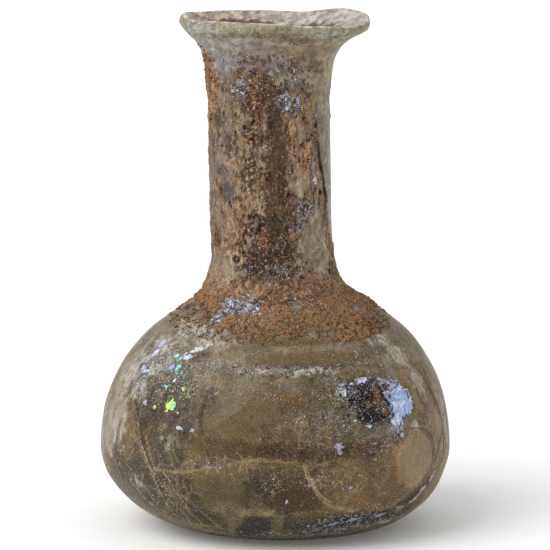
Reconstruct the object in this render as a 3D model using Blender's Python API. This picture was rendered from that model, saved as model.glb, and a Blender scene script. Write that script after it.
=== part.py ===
"""A small glass flask from antiquity, blown free-hand, with the soil that lines its neck.

The flask has a flat base, a squat round body, a wide neck and an uneven flared
rim. It is open and empty, and its glass has a true thickness all over.

Lengths are in metres and +Z is up. The origin is on the surface that the flask
stands on, under the middle of the body. The front of the flask faces -Y.
"""
import math

import bmesh
import bpy
from mathutils import Matrix, Vector, noise

MM = 0.001
ORIGIN = Vector((0.0, 0.0, 0.0))
UP = Vector((0.0, 0.0, 1.0))
FULL_TURN = 2.0 * math.pi

# Heights above the surface that the flask stands on
LIP_HEIGHT = 100.0 * MM
WIDEST_HEIGHT = 16.5 * MM
NECK_FOOT_HEIGHT = 57.0 * MM

# Height of the flare below the lip
FLARE_HEIGHT = 16.0 * MM

# Outer radii
BASE_RADIUS = 15.0 * MM
BODY_RADIUS = 34.45 * MM
NECK_RADIUS = 11.75 * MM
LIP_RADIUS = 18.25 * MM

# Thickness of the glass
BASE_WALL = 3.2 * MM
BODY_WALL = 2.2 * MM
NECK_WALL = 2.0 * MM
LIP_WALL = 2.1 * MM

# Soil lining of the neck: its thickness, its ends and its clearance to the glass
LINING_THICKNESS = 1.3 * MM
LINING_LUMPS = 0.35 * MM
LUMP_SIZE = 5.0 * MM
LINING_TOP_BELOW_LIP = 8.0 * MM
LINING_FOOT_BELOW_NECK = 9.0 * MM
SEAT_GAP = 0.3 * MM

# The strip of the neck where the lining has come away, as azimuths from +X
BARE_STRIP_FRONT_TOP = math.radians(-50.0)
BARE_STRIP_FRONT_FOOT = math.radians(-30.0)
BARE_STRIP_BACK = math.radians(8.0)

# How far the blown form leans from a true turned one: (share of LIP_HEIGHT, shift along X)
LEAN = (
    (0.00, 1.5 * MM),
    (0.05, 0.7 * MM),
    (0.12, 0.05 * MM),
    (0.22, 0.05 * MM),
    (0.32, 0.3 * MM),
    (0.39, 0.65 * MM),
    (0.44, 1.05 * MM),
    (0.48, -0.25 * MM),
    (0.53, -0.5 * MM),
    (0.64, -0.8 * MM),
    (0.80, -1.05 * MM),
    (0.90, -1.25 * MM),
    (0.96, -1.2 * MM),
    (1.00, -0.15 * MM),
)

# How far the lip rises above its mean height: (azimuth in degrees, rise)
RIM_WAVE = (
    (-180, 0.9 * MM),
    (-155, 0.1 * MM),
    (-130, 0.4 * MM),
    (-90, 0.25 * MM),
    (-65, -0.4 * MM),
    (-35, -0.9 * MM),
    (-12, -0.7 * MM),
    (12, 0.6 * MM),
    (38, 0.9 * MM),
    (75, -0.2 * MM),
    (100, 0.05 * MM),
    (140, 0.3 * MM),
    (180, 0.9 * MM),
)

# Shoulder between the widest ring and the neck: (share of its height, share of its depth)
SHOULDER = (
    (0.195, 0.957),
    (0.375, 0.830),
    (0.530, 0.625),
    (0.645, 0.361),
    (0.750, 0.113),
    (0.870, 0.014),
)

# Flare between the neck and the lip: (share of its height, share of its overhang)
FLARE = (
    (0.28, 0.07),
    (0.56, 0.17),
    (0.78, 0.42),
)

# Mesh fineness
ROUND_STEPS = 48
HEEL_STEPS = 6
SPAN_STEPS = 2
LIP_STEPS = 5
LINING_ROWS = 11
LINING_COLUMNS = 34
MERGE_DISTANCE = 0.01 * MM
ANGLE_SLACK = 0.0001

# Slope of the flare where it meets the rounded lip
LIP_SLOPE = math.radians(45.0)


def smooth_step(value, low, high):
    """0 below low, 1 above high and a smooth rise between them."""
    share = min(max((value - low) / (high - low), 0.0), 1.0)
    return share * share * (3.0 - 2.0 * share)


def curve_through(points, steps):
    """A smooth curve through points, with steps samples for each span."""
    points = [Vector(point) for point in points]
    first = 2.0 * points[0] - points[1]
    last = 2.0 * points[-1] - points[-2]
    padded = [first] + points + [last]
    samples = []
    for before, start, end, after in zip(padded, padded[1:], padded[2:], padded[3:]):
        for step in range(steps):
            t = step / steps
            samples.append(0.5 * (
                2.0 * start
                + (end - before) * t
                + (2.0 * before - 5.0 * start + 4.0 * end - after) * t * t
                + (3.0 * start - before - 3.0 * end + after) * t * t * t
            ))
    samples.append(points[-1])
    return samples


def value_between(table, place):
    """The second value of a table of pairs at a place between its first values."""
    for (low, low_value), (high, high_value) in zip(table, table[1:]):
        if place <= high:
            rise = smooth_step(place, low, high)
            return low_value + (high_value - low_value) * rise
    return table[-1][1]


def as_blown(point):
    """Moves a point of the true turned form to where the free-hand one has it."""
    azimuth = math.degrees(math.atan2(point.y, point.x))
    flare = smooth_step(point.z, LIP_HEIGHT - FLARE_HEIGHT, LIP_HEIGHT)
    lean = value_between(LEAN, point.z / LIP_HEIGHT)
    return Vector((point.x + lean, point.y, point.z + value_between(RIM_WAVE, azimuth) * flare))


def glass_wall(height):
    """Thickness of the glass where its outer face is at this height."""
    body = BASE_WALL + (BODY_WALL - BASE_WALL) * smooth_step(height, 0.0, WIDEST_HEIGHT)
    neck = body + (NECK_WALL - body) * smooth_step(height, WIDEST_HEIGHT, NECK_FOOT_HEIGHT)
    flare = smooth_step(height, LIP_HEIGHT - FLARE_HEIGHT, LIP_HEIGHT - LIP_WALL)
    return neck + (LIP_WALL - neck) * flare


def lip_centre():
    """Centre of the rounded lip in the turned section, as (radius, height)."""
    return Vector((LIP_RADIUS - LIP_WALL / 2.0, LIP_HEIGHT - LIP_WALL / 2.0))


def lip_point(angle):
    """A point of the rounded lip, at an angle from the outward direction."""
    return lip_centre() + Vector((math.cos(angle), math.sin(angle))) * LIP_WALL / 2.0


def outer_section():
    """The outer face in section, from the edge of the base up to the lip."""
    stations = []
    for step in range(HEEL_STEPS + 1):
        angle = math.radians(90.0) * step / HEEL_STEPS
        radius = BASE_RADIUS + (BODY_RADIUS - BASE_RADIUS) * math.sin(angle)
        stations.append((radius, WIDEST_HEIGHT * (1.0 - math.cos(angle))))
    for height, depth in SHOULDER:
        stations.append((
            NECK_RADIUS + (BODY_RADIUS - NECK_RADIUS) * depth,
            WIDEST_HEIGHT + (NECK_FOOT_HEIGHT - WIDEST_HEIGHT) * height,
        ))
    flare_foot = LIP_HEIGHT - FLARE_HEIGHT
    lip_start = lip_point(-LIP_SLOPE)
    stations.append((NECK_RADIUS, NECK_FOOT_HEIGHT))
    stations.append((NECK_RADIUS, (NECK_FOOT_HEIGHT + flare_foot) / 2.0))
    stations.append((NECK_RADIUS, flare_foot))
    for height, overhang in FLARE:
        stations.append((
            NECK_RADIUS + (lip_start.x - NECK_RADIUS) * overhang,
            flare_foot + (lip_start.y - flare_foot) * height,
        ))
    stations.append(lip_start)
    return curve_through(stations, SPAN_STEPS)


def inner_section(outer):
    """The inner face in section: the outer one moved in by the wall at each point."""
    inner = []
    for before, point, after in zip([outer[0]] + outer, outer, outer[1:] + [outer[-1]]):
        along = (after - before).normalized()
        inward = Vector((-along.y, along.x))
        inner.append(point + inward * glass_wall(point.y))
    inner[0] = Vector((outer[0].x, BASE_WALL))
    inner[-1] = lip_point(math.radians(180.0) - LIP_SLOPE)
    return inner


def lip_section():
    """The rounded lip in section, between the outer and the inner face."""
    angles = [step / LIP_STEPS * math.radians(180.0) - LIP_SLOPE for step in range(1, LIP_STEPS)]
    return [lip_point(angle) for angle in angles]


def lining_seat(bore, height):
    """Radius of the lining's outer side at a height, clear of the glass's bore."""
    for low, high in zip(bore, bore[1:]):
        if low.y <= height <= high.y:
            share = (height - low.y) / (high.y - low.y)
            return low.x + (high.x - low.x) * share - SEAT_GAP
    raise ValueError("the lining reaches past the bore of the glass")


def make_material(name, colour, roughness, transmission):
    """A plain material with the colour and the gloss of the part."""
    material = bpy.data.materials.new(name)
    material.use_nodes = True
    shader = material.node_tree.nodes["Principled BSDF"]
    shader.inputs["Base Color"].default_value = (*colour, 1.0)
    shader.inputs["Roughness"].default_value = roughness
    shader.inputs["Metallic"].default_value = 0.0
    shader.inputs["Transmission Weight"].default_value = transmission
    material.diffuse_color = (*colour, 1.0)
    return material


def add_object(name, shape, material):
    """Puts a finished shape into the scene as a named, smooth object."""
    bmesh.ops.recalc_face_normals(shape, faces=shape.faces)
    mesh = bpy.data.meshes.new(name)
    shape.to_mesh(mesh)
    shape.free()
    mesh.shade_smooth()
    mesh.materials.append(material)
    part = bpy.data.objects.new(name, mesh)
    bpy.context.collection.objects.link(part)
    return part


def spin_section(shape, section, start, angle, steps):
    """Spins a section, given as (radius, height) points, about the Z axis."""
    corners = [shape.verts.new((point.x, 0.0, point.y)) for point in section]
    edges = [shape.edges.new(pair) for pair in zip(corners, corners[1:])]
    bmesh.ops.rotate(shape, verts=corners, cent=ORIGIN, matrix=Matrix.Rotation(start, 3, "Z"))
    bmesh.ops.spin(
        shape,
        geom=corners + edges,
        cent=ORIGIN,
        axis=UP,
        angle=angle,
        steps=steps,
        use_merge=angle >= FULL_TURN,
    )
    bmesh.ops.remove_doubles(shape, verts=shape.verts, dist=MERGE_DISTANCE)


def make_flask():
    """The glass: a hollow body open at the mouth, from one spun section."""
    outer = outer_section()
    inner = inner_section(outer)
    base_centre = [Vector((0.0, 0.0))]
    floor_centre = [Vector((0.0, BASE_WALL))]
    section = base_centre + outer + lip_section() + inner[::-1] + floor_centre
    shape = bmesh.new()
    spin_section(shape, section, 0.0, FULL_TURN, ROUND_STEPS)
    for vert in shape.verts:
        vert.co = as_blown(vert.co)
    glass = make_material("weathered_glass", (0.36, 0.34, 0.20), 0.20, 0.85)
    return add_object("flask", shape, glass)


def make_neck_lining():
    """The soil that lines the neck, with a bare strip where it has come away."""
    foot = NECK_FOOT_HEIGHT - LINING_FOOT_BELOW_NECK
    top = LIP_HEIGHT - LINING_TOP_BELOW_LIP
    bore = inner_section(outer_section())
    heights = [foot + (top - foot) * row / LINING_ROWS for row in range(LINING_ROWS + 1)]
    glass_side = [Vector((lining_seat(bore, height), height)) for height in heights]
    bore_side = [point - Vector((LINING_THICKNESS, 0.0)) for point in reversed(glass_side)]
    covered = FULL_TURN - (BARE_STRIP_BACK - BARE_STRIP_FRONT_TOP)
    shape = bmesh.new()
    section = glass_side + bore_side + glass_side[:1]
    spin_section(shape, section, BARE_STRIP_BACK, covered, LINING_COLUMNS)
    open_edges = [edge for edge in shape.edges if edge.is_boundary]
    ends = bmesh.ops.holes_fill(shape, edges=open_edges)["faces"]
    bmesh.ops.triangulate(shape, faces=ends)
    for vert in shape.verts:
        place = vert.co.copy()
        radius = place.xy.length
        turned = (math.atan2(place.y, place.x) - BARE_STRIP_BACK + ANGLE_SLACK) % FULL_TURN
        height = min(max(place.z, foot), top)
        if radius < lining_seat(bore, height) - LINING_THICKNESS / 2.0:
            radius += LINING_LUMPS * noise.noise(place / LUMP_SIZE)
        fallen = (top - height) / (top - foot) * turned / covered
        slant = (BARE_STRIP_FRONT_FOOT - BARE_STRIP_FRONT_TOP) * fallen
        azimuth = BARE_STRIP_BACK + turned + slant
        x = radius * math.cos(azimuth)
        y = radius * math.sin(azimuth)
        vert.co = as_blown(Vector((x, y, place.z)))
    soil = make_material("neck_soil", (0.33, 0.21, 0.12), 0.9, 0.0)
    return add_object("neck_lining", shape, soil)


def main():
    for old in list(bpy.data.objects):
        bpy.data.objects.remove(old)
    make_flask()
    make_neck_lining()


main()
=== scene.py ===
"""A weathered glass flask from antiquity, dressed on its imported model.

The glass is a clear olive wall with a brown film on its inner face, a crust of
soil in the neck and on the shoulder, and scattered flakes of weathering.
Lengths are in metres, +Z is up and the front of the flask faces -Y.
"""
import math

import bmesh
import bpy
import numpy as np
from bpy.props import FloatProperty, FloatVectorProperty, PointerProperty
from bpy.types import Operator, Panel, PropertyGroup
from mathutils import Matrix, Vector, noise


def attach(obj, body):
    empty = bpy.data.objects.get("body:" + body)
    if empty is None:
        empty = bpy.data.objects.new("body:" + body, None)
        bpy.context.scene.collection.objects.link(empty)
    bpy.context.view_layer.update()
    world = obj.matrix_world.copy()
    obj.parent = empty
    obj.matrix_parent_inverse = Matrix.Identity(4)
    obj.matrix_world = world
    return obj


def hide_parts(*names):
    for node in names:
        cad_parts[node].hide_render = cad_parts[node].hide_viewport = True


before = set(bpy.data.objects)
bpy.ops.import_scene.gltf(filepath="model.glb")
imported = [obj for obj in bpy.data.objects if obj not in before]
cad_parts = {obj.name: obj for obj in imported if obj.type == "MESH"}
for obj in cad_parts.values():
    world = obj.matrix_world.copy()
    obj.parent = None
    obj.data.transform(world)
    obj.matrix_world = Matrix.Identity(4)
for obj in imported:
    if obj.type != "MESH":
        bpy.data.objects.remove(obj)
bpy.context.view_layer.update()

bl_info = {
    "name": "Weathered glass flask",
    "version": (1, 0, 0),
    "blender": (4, 5, 0),
    "location": "3D View > Sidebar > Flask",
    "description": "Builds an ancient glass flask with its film, soil and flakes",
    "category": "Object",
}

MM = 0.001
UP = Vector((0.0, 0.0, 1.0))
FULL_TURN = 2.0 * math.pi
FRONT = math.radians(-90.0)
FRONT_DENSITY = 0.35
FLAT_RADIUS = 30.0 * MM
SKIN_DRAFT = 0.3 * MM
CRUST_FOOT = -0.15 * MM
CHIP_FOOT = -0.10 * MM
LIP_REACH = 0.55 * MM

# The turned section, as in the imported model. Pairs are shares of a height and of a depth.
SHOULDER = ((0.195, 0.957), (0.375, 0.830), (0.530, 0.625), (0.645, 0.361), (0.750, 0.113), (0.870, 0.014))
FLARE = ((0.28, 0.07), (0.56, 0.17), (0.78, 0.42))
HEEL_STEPS = 6
CURVE_STEPS = 16
LIP_STEPS = 24
LIP_SLOPE = math.radians(45.0)

# How the blown form leans: (share of the lip's height, shift along X)
LEAN = (
    (0.00, 1.5 * MM), (0.05, 0.7 * MM), (0.12, 0.05 * MM), (0.22, 0.05 * MM), (0.32, 0.3 * MM),
    (0.39, 0.65 * MM), (0.44, 1.05 * MM), (0.48, -0.25 * MM), (0.53, -0.5 * MM), (0.64, -0.8 * MM),
    (0.80, -1.05 * MM), (0.90, -1.25 * MM), (0.96, -1.2 * MM), (1.00, -0.15 * MM),
)

# How far the lip rises above its mean height: (azimuth in degrees, rise)
RIM_WAVE = (
    (-180, 0.9 * MM), (-155, 0.1 * MM), (-130, 0.4 * MM), (-90, 0.25 * MM), (-65, -0.4 * MM),
    (-35, -0.9 * MM), (-12, -0.7 * MM), (12, 0.6 * MM), (38, 0.9 * MM), (75, -0.2 * MM),
    (100, 0.05 * MM), (140, 0.3 * MM), (180, 0.9 * MM),
)


def tone(red, green, blue):
    """The linear colour of a screen colour of 0 to 255."""
    return tuple(((value / 255.0 + 0.055) / 1.055) ** 2.4 for value in (red, green, blue))


def length(name, default, description):
    return FloatProperty(name=name, description=description, default=default, unit="LENGTH")


def colour(name, default, description):
    return FloatVectorProperty(
        name=name, description=description, default=default, subtype="COLOR", size=3, min=0.0, max=1.0
    )


class FlaskSizes(PropertyGroup):
    """Sizes of the flask and of what sticks to it."""
    lip_height: length("Lip height", 100.0 * MM, "Mean height of the lip")
    widest_height: length("Widest height", 16.5 * MM, "Height of the widest ring of the body")
    neck_foot_height: length("Neck foot", 57.0 * MM, "Height where the shoulder runs out")
    flare_height: length("Flare", 16.0 * MM, "Height of the flare below the lip")
    base_radius: length("Base radius", 15.0 * MM, "Radius of the flat underside")
    body_radius: length("Body radius", 34.45 * MM, "Largest outer radius")
    neck_radius: length("Neck radius", 11.75 * MM, "Outer radius of the neck")
    lip_radius: length("Lip radius", 18.25 * MM, "Outer radius of the lip")
    base_wall: length("Base wall", 3.2 * MM, "Thickness of the glass in the base")
    body_wall: length("Body wall", 2.2 * MM, "Thickness of the glass at the widest ring")
    neck_wall: length("Neck wall", 2.0 * MM, "Thickness of the glass in the neck")
    lip_wall: length("Lip wall", 2.1 * MM, "Thickness of the rounded lip")
    film_top: length("Film top", 57.0 * MM, "Height where the inner film ends")
    lining_foot: length("Lining foot", 47.5 * MM, "Lower end of the soil in the neck")
    lining_top: length("Lining top", 92.0 * MM, "Upper end of the soil in the neck")
    lining_thickness: length("Lining thickness", 1.4 * MM, "Thickness of the soil in the neck")
    soil_thickness: length("Soil thickness", 0.40 * MM, "Thickness of the crust on the shoulder")


class FlaskColours(PropertyGroup):
    """Colours of the glass and of its weathering, as linear values."""
    glass: colour("Glass", (0.72, 0.71, 0.52), "Tint of the clear glass")
    film: colour("Film", tone(104, 88, 54), "Olive film on the inner face")
    patina: colour("Patina", tone(124, 104, 64), "Thin film on the outside of the body")
    crust: colour("Crust", tone(134, 112, 89), "Wrinkled crust on the neck")
    rim: colour("Rim", tone(160, 145, 120), "Frosted film on the flare")
    lining: colour("Lining", tone(128, 96, 66), "Soil inside the neck")
    soil: colour("Soil", tone(158, 116, 75), "Sandy crust on the shoulder")
    floor: colour("Floor", (0.95, 0.95, 0.945), "Plain pale floor")


def sizes():
    return bpy.context.scene.flask_sizes


def colours():
    return bpy.context.scene.flask_colours


def smooth_step(value, low, high):
    share = np.clip((value - low) / (high - low), 0.0, 1.0)
    return share * share * (3.0 - 2.0 * share)


def curve_through(points, steps):
    """A smooth curve through points, with steps samples for each span."""
    points = [np.array(point) for point in points]
    padded = [2.0 * points[0] - points[1]] + points + [2.0 * points[-1] - points[-2]]
    samples = []
    for before, start, end, after in zip(padded, padded[1:], padded[2:], padded[3:]):
        for step in range(steps):
            t = step / steps
            samples.append(0.5 * (
                2.0 * start
                + (end - before) * t
                + (2.0 * before - 5.0 * start + 4.0 * end - after) * t * t
                + (3.0 * start - before - 3.0 * end + after) * t * t * t
            ))
    samples.append(points[-1])
    return samples


def eased(table, places):
    """Values of a table of pairs at places between its first values, eased at each pair."""
    result = np.full_like(places, table[-1][1])
    for (low, low_value), (high, high_value) in reversed(list(zip(table, table[1:]))):
        value = low_value + (high_value - low_value) * smooth_step(places, low, high)
        result = np.where(places <= high, value, result)
    return result


class Form:
    """The wall of the flask in section: up its outer face, over the lip, down its inner face.

    A place on it is an azimuth and a way along the section, and a lift stands off the glass.
    """

    def __init__(self):
        size = sizes()
        outer = self.outer_face(size)
        inner = self.inner_face(size, outer)
        section = [np.array((0.0, 0.0))] + outer + self.lip(size) + inner[::-1]
        section.append(np.array((0.0, size.base_wall)))
        section = np.array(section)
        gaps = np.linalg.norm(np.diff(section, axis=0), axis=1)
        self.along = np.concatenate([[0.0], np.cumsum(gaps)])
        self.radius, self.height = section.T
        slope = np.gradient(section, self.along, axis=0)
        slope /= np.linalg.norm(slope, axis=1)[:, None]
        self.out, self.up = slope[:, 1], -slope[:, 0]
        self.outer_count = len(outer) + 1
        self.inner_first = self.outer_count + LIP_STEPS - 1
        self.lip_height = size.lip_height
        self.flare_foot = size.lip_height - size.flare_height

    @staticmethod
    def lip_point(size, angle):
        centre = np.array((size.lip_radius - size.lip_wall / 2.0, size.lip_height - size.lip_wall / 2.0))
        return centre + np.array((math.cos(angle), math.sin(angle))) * size.lip_wall / 2.0

    def outer_face(self, size):
        stations = []
        for step in range(HEEL_STEPS + 1):
            angle = math.radians(90.0) * step / HEEL_STEPS
            radius = size.base_radius + (size.body_radius - size.base_radius) * math.sin(angle)
            stations.append((radius, size.widest_height * (1.0 - math.cos(angle))))
        for height, depth in SHOULDER:
            stations.append((
                size.neck_radius + (size.body_radius - size.neck_radius) * depth,
                size.widest_height + (size.neck_foot_height - size.widest_height) * height,
            ))
        flare_foot = size.lip_height - size.flare_height
        lip_start = self.lip_point(size, -LIP_SLOPE)
        for height in (size.neck_foot_height, (size.neck_foot_height + flare_foot) / 2.0, flare_foot):
            stations.append((size.neck_radius, height))
        for height, overhang in FLARE:
            stations.append((
                size.neck_radius + (lip_start[0] - size.neck_radius) * overhang,
                flare_foot + (lip_start[1] - flare_foot) * height,
            ))
        stations.append(lip_start)
        return curve_through(stations, CURVE_STEPS)

    def inner_face(self, size, outer):
        inner = []
        for before, point, after in zip([outer[0]] + outer, outer, outer[1:] + [outer[-1]]):
            way = (after - before) / np.linalg.norm(after - before)
            inner.append(point + np.array((-way[1], way[0])) * self.wall(size, point[1]))
        inner[0] = np.array((outer[0][0], size.base_wall))
        inner[-1] = self.lip_point(size, math.pi - LIP_SLOPE)
        return inner

    @staticmethod
    def wall(size, height):
        low = smooth_step(height, 0.0, size.widest_height)
        high = smooth_step(height, size.widest_height, size.neck_foot_height)
        body = size.base_wall + (size.body_wall - size.base_wall) * low
        neck = body + (size.neck_wall - body) * high
        flare = smooth_step(height, size.lip_height - size.flare_height, size.lip_height - size.lip_wall)
        return neck + (size.lip_wall - neck) * flare

    def lip(self, size):
        angles = [step / LIP_STEPS * math.pi - LIP_SLOPE for step in range(1, LIP_STEPS)]
        return [self.lip_point(size, angle) for angle in angles]

    def outside(self, height):
        """The way along the section to a height on the outer face."""
        return float(np.interp(height, self.height[1:self.outer_count], self.along[1:self.outer_count]))

    def inside(self, height):
        """The way along the section to a height on the inner face."""
        heights = self.height[self.inner_first:-1][::-1]
        return float(np.interp(height, heights, self.along[self.inner_first:-1][::-1]))

    def at(self, values, along):
        return np.interp(along, self.along, values)

    def place(self, azimuth, along, lift):
        """World positions for arrays of azimuth, way along the section and lift."""
        radius = self.at(self.radius, along) + self.at(self.out, along) * lift
        height = self.at(self.height, along) + self.at(self.up, along) * lift
        lean = eased(LEAN, height / self.lip_height)
        degrees = np.degrees((azimuth + math.pi) % FULL_TURN - math.pi)
        flare = smooth_step(height, self.flare_foot, self.lip_height)
        lip = smooth_step(height, self.lip_height - 3.5 * MM, self.lip_height - 1.5 * MM)
        right = smooth_step(np.cos(azimuth), 0.3, 1.0)
        x = radius * np.cos(azimuth) + lean + LIP_REACH * lip * right
        y = radius * np.sin(azimuth)
        return np.stack([x, y, height + eased(RIM_WAVE, degrees) * flare], axis=1)


def form():
    """The flask's form, worked out once from its sizes."""
    if not FORMS:
        FORMS.append(Form())
    return FORMS[0]


FORMS = []


class Skin:
    """A mesh shape whose vertices know their way along the section and their side, 1 outer and -1 inner."""

    def __init__(self, flat=False):
        self.flat = flat
        self.shape = bmesh.new()
        self.along_layer = self.shape.verts.layers.float.new("along")
        self.side_layer = self.shape.verts.layers.float.new("side")
        self.cover_layer = self.shape.verts.layers.float.new("cover")
        self.owner_layer = self.shape.verts.layers.float.new("owner")

    def spin(self, section, steps, cuts):
        """Spins a section of (along, side) pairs all round, refines it and packs it denser at the front."""
        wall = form()
        corners = []
        for along, side in section:
            radius = wall.at(wall.radius, along) + wall.at(wall.out, along) * side * SKIN_DRAFT
            height = wall.at(wall.height, along) + wall.at(wall.up, along) * side * SKIN_DRAFT
            corner = self.shape.verts.new((max(radius, 0.0), 0.0, height))
            corner[self.along_layer] = along
            corner[self.side_layer] = side
            corners.append(corner)
        edges = [self.shape.edges.new(pair) for pair in zip(corners, corners[1:])]
        bmesh.ops.spin(
            self.shape,
            geom=corners + edges,
            cent=(0.0, 0.0, 0.0),
            axis=UP,
            angle=FULL_TURN,
            steps=steps,
            use_merge=True,
        )
        bmesh.ops.remove_doubles(self.shape, verts=self.shape.verts, dist=0.002 * MM)
        bmesh.ops.subdivide_edges(self.shape, edges=self.shape.edges, cuts=cuts, use_grid_fill=True)
        self.read()
        front = (self.azimuth - FRONT + math.pi) % FULL_TURN - math.pi
        self.azimuth = FRONT + front - FRONT_DENSITY * np.sin(front)

    def ring(self, low, high, fine, coarse, steps=80, cuts=4):
        """A closed skin round the flask: fine rows on its open side, coarse rows against the glass."""
        open_side = section_way(low, high, fine * (cuts + 1))
        glass_side = section_way(high, low, coarse * (cuts + 1))
        section = [(along, 1.0) for along in open_side] + [(along, -1.0) for along in glass_side]
        self.spin(section + [(low, 1.0)], steps, cuts)

    def sheet(self, azimuth, height, width, tall, spacing, owner=0):
        """A flat sheet over a place on the flask, to be cut and laid on it."""
        wall = form()
        along = wall.outside(height)
        scale = FLAT_RADIUS / wall.at(wall.radius, along)
        made = bmesh.ops.create_grid(
            self.shape,
            x_segments=max(2, round(width / spacing)),
            y_segments=max(2, round(tall / spacing)),
            size=0.5,
            matrix=Matrix.Translation((math.radians(azimuth) * FLAT_RADIUS, along, 0.0))
            @ Matrix.Diagonal((width * scale, tall, 1.0, 1.0)),
        )
        for vert in made["verts"]:
            vert[self.side_layer] = 1.0
            vert[self.owner_layer] = owner

    def read(self):
        """Fills the arrays of azimuth, way along and side."""
        place = np.array([vert.co[:] for vert in self.shape.verts])
        self.side = np.array([vert[self.side_layer] for vert in self.shape.verts])
        if self.flat:
            self.azimuth = place[:, 0] / FLAT_RADIUS
            self.along = place[:, 1]
        else:
            self.azimuth = np.arctan2(place[:, 1], place[:, 0])
            self.along = np.array([vert[self.along_layer] for vert in self.shape.verts])
        self.owner = np.array([vert[self.owner_layer] for vert in self.shape.verts])
        self.lift = np.zeros(len(place))

    def places(self):
        """Positions on the glass in millimetres."""
        return form().place(self.azimuth, self.along, np.zeros(len(self.along))) / MM

    def keep(self, cover):
        """Drops the faces that have no cover, thickens the rest and returns the cover of what is left."""
        azimuth = self.shape.verts.layers.float.new("azimuth")
        for index, (vert, value, turn) in enumerate(zip(self.shape.verts, cover, self.azimuth)):
            vert.index = index
            vert[self.cover_layer] = value
            vert[azimuth] = turn
        bare = [face for face in self.shape.faces if min(cover[vert.index] for vert in face.verts) < 0.0]
        bmesh.ops.delete(self.shape, geom=bare, context="FACES")
        self.thicken()
        self.read()
        self.azimuth = np.array([vert[azimuth] for vert in self.shape.verts])
        self.shape.verts.layers.float.remove(azimuth)
        kept = self.shape.verts.layers.float["cover"]
        return np.array([vert[kept] for vert in self.shape.verts])

    def thicken(self):
        """Closes open faces into thin solids; the copy is the side against the glass."""
        faces = self.shape.faces[:] + self.shape.edges[:]
        for item in bmesh.ops.extrude_face_region(self.shape, geom=faces, use_keep_orig=True)["geom"]:
            if isinstance(item, bmesh.types.BMVert):
                item[self.side_layer] = -1.0

    def settle(self, top, bottom):
        """Sets the lift of the open side and of the side against the glass."""
        share = (self.side + 1.0) / 2.0
        self.lift = bottom + (top - bottom) * share

    def settle_by_cover(self):
        """Lifts the open side by each vertex's cover, in millimetres, within the body's width."""
        kept = self.shape.verts.layers.float["cover"]
        lift = np.array([vert[kept] for vert in self.shape.verts])
        self.settle(np.minimum(lift, self.room()) * MM, CHIP_FOOT)

    def room(self):
        """Millimetres from each vertex's place on the glass out to the body's width."""
        return (sizes().body_radius - form().at(form().radius, self.along)) / MM

    def finish(self, name, material, colour=None, marks=None):
        """Moves the vertices to their places and makes the object, with its marks as attributes."""
        for vert, place in zip(self.shape.verts, form().place(self.azimuth, self.along, self.lift)):
            vert.co = place
        bmesh.ops.recalc_face_normals(self.shape, faces=self.shape.faces)
        mesh = bpy.data.meshes.new(name)
        self.shape.to_mesh(mesh)
        self.shape.free()
        mesh.shade_smooth()
        for layer in ("along", "side", "cover", "owner"):
            mesh.attributes.remove(mesh.attributes[layer])
        if colour is not None:
            values = np.concatenate([colour, np.ones((len(colour), 1))], axis=1).astype(np.float32)
            mesh.attributes.new("tint", "FLOAT_COLOR", "POINT").data.foreach_set("color", values.ravel())
        for mark, values in (marks or {}).items():
            mesh.attributes.new(mark, "FLOAT", "POINT").data.foreach_set("value", values.astype(np.float32))
        return add_piece(name, mesh, material)


def add_piece(name, mesh, material):
    mesh.materials.append(material)
    piece = bpy.data.objects.new(name, mesh)
    bpy.context.collection.objects.link(piece)
    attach(piece, "root")
    return piece


def section_way(low, high, spacing):
    """Ways along the section from low to high, in steps of about a spacing."""
    return list(np.linspace(low, high, max(2, round(abs(high - low) / spacing) + 1)))


def noise_at(places, grain, seed=0, octaves=1):
    """Smooth noise, about -1 to 1, at places in millimetres, with features of a grain size."""
    shift = np.array((seed * 17.3, seed * 5.1, seed * 9.7))
    spots = places / np.array(grain) + shift
    if octaves == 1:
        return np.array([noise.noise(spot) for spot in spots])
    return np.array([noise.fractal(spot, 0.8, 2.1, octaves) for spot in spots])


def cells_at(places, grain, seed=0):
    """Distance to the nearest and to the second nearest of scattered points, in grain sizes."""
    spots = places / grain + seed * 7.7
    found = np.array([noise.voronoi(spot)[0][:2] for spot in spots])
    return found[:, 0], found[:, 1]


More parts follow.
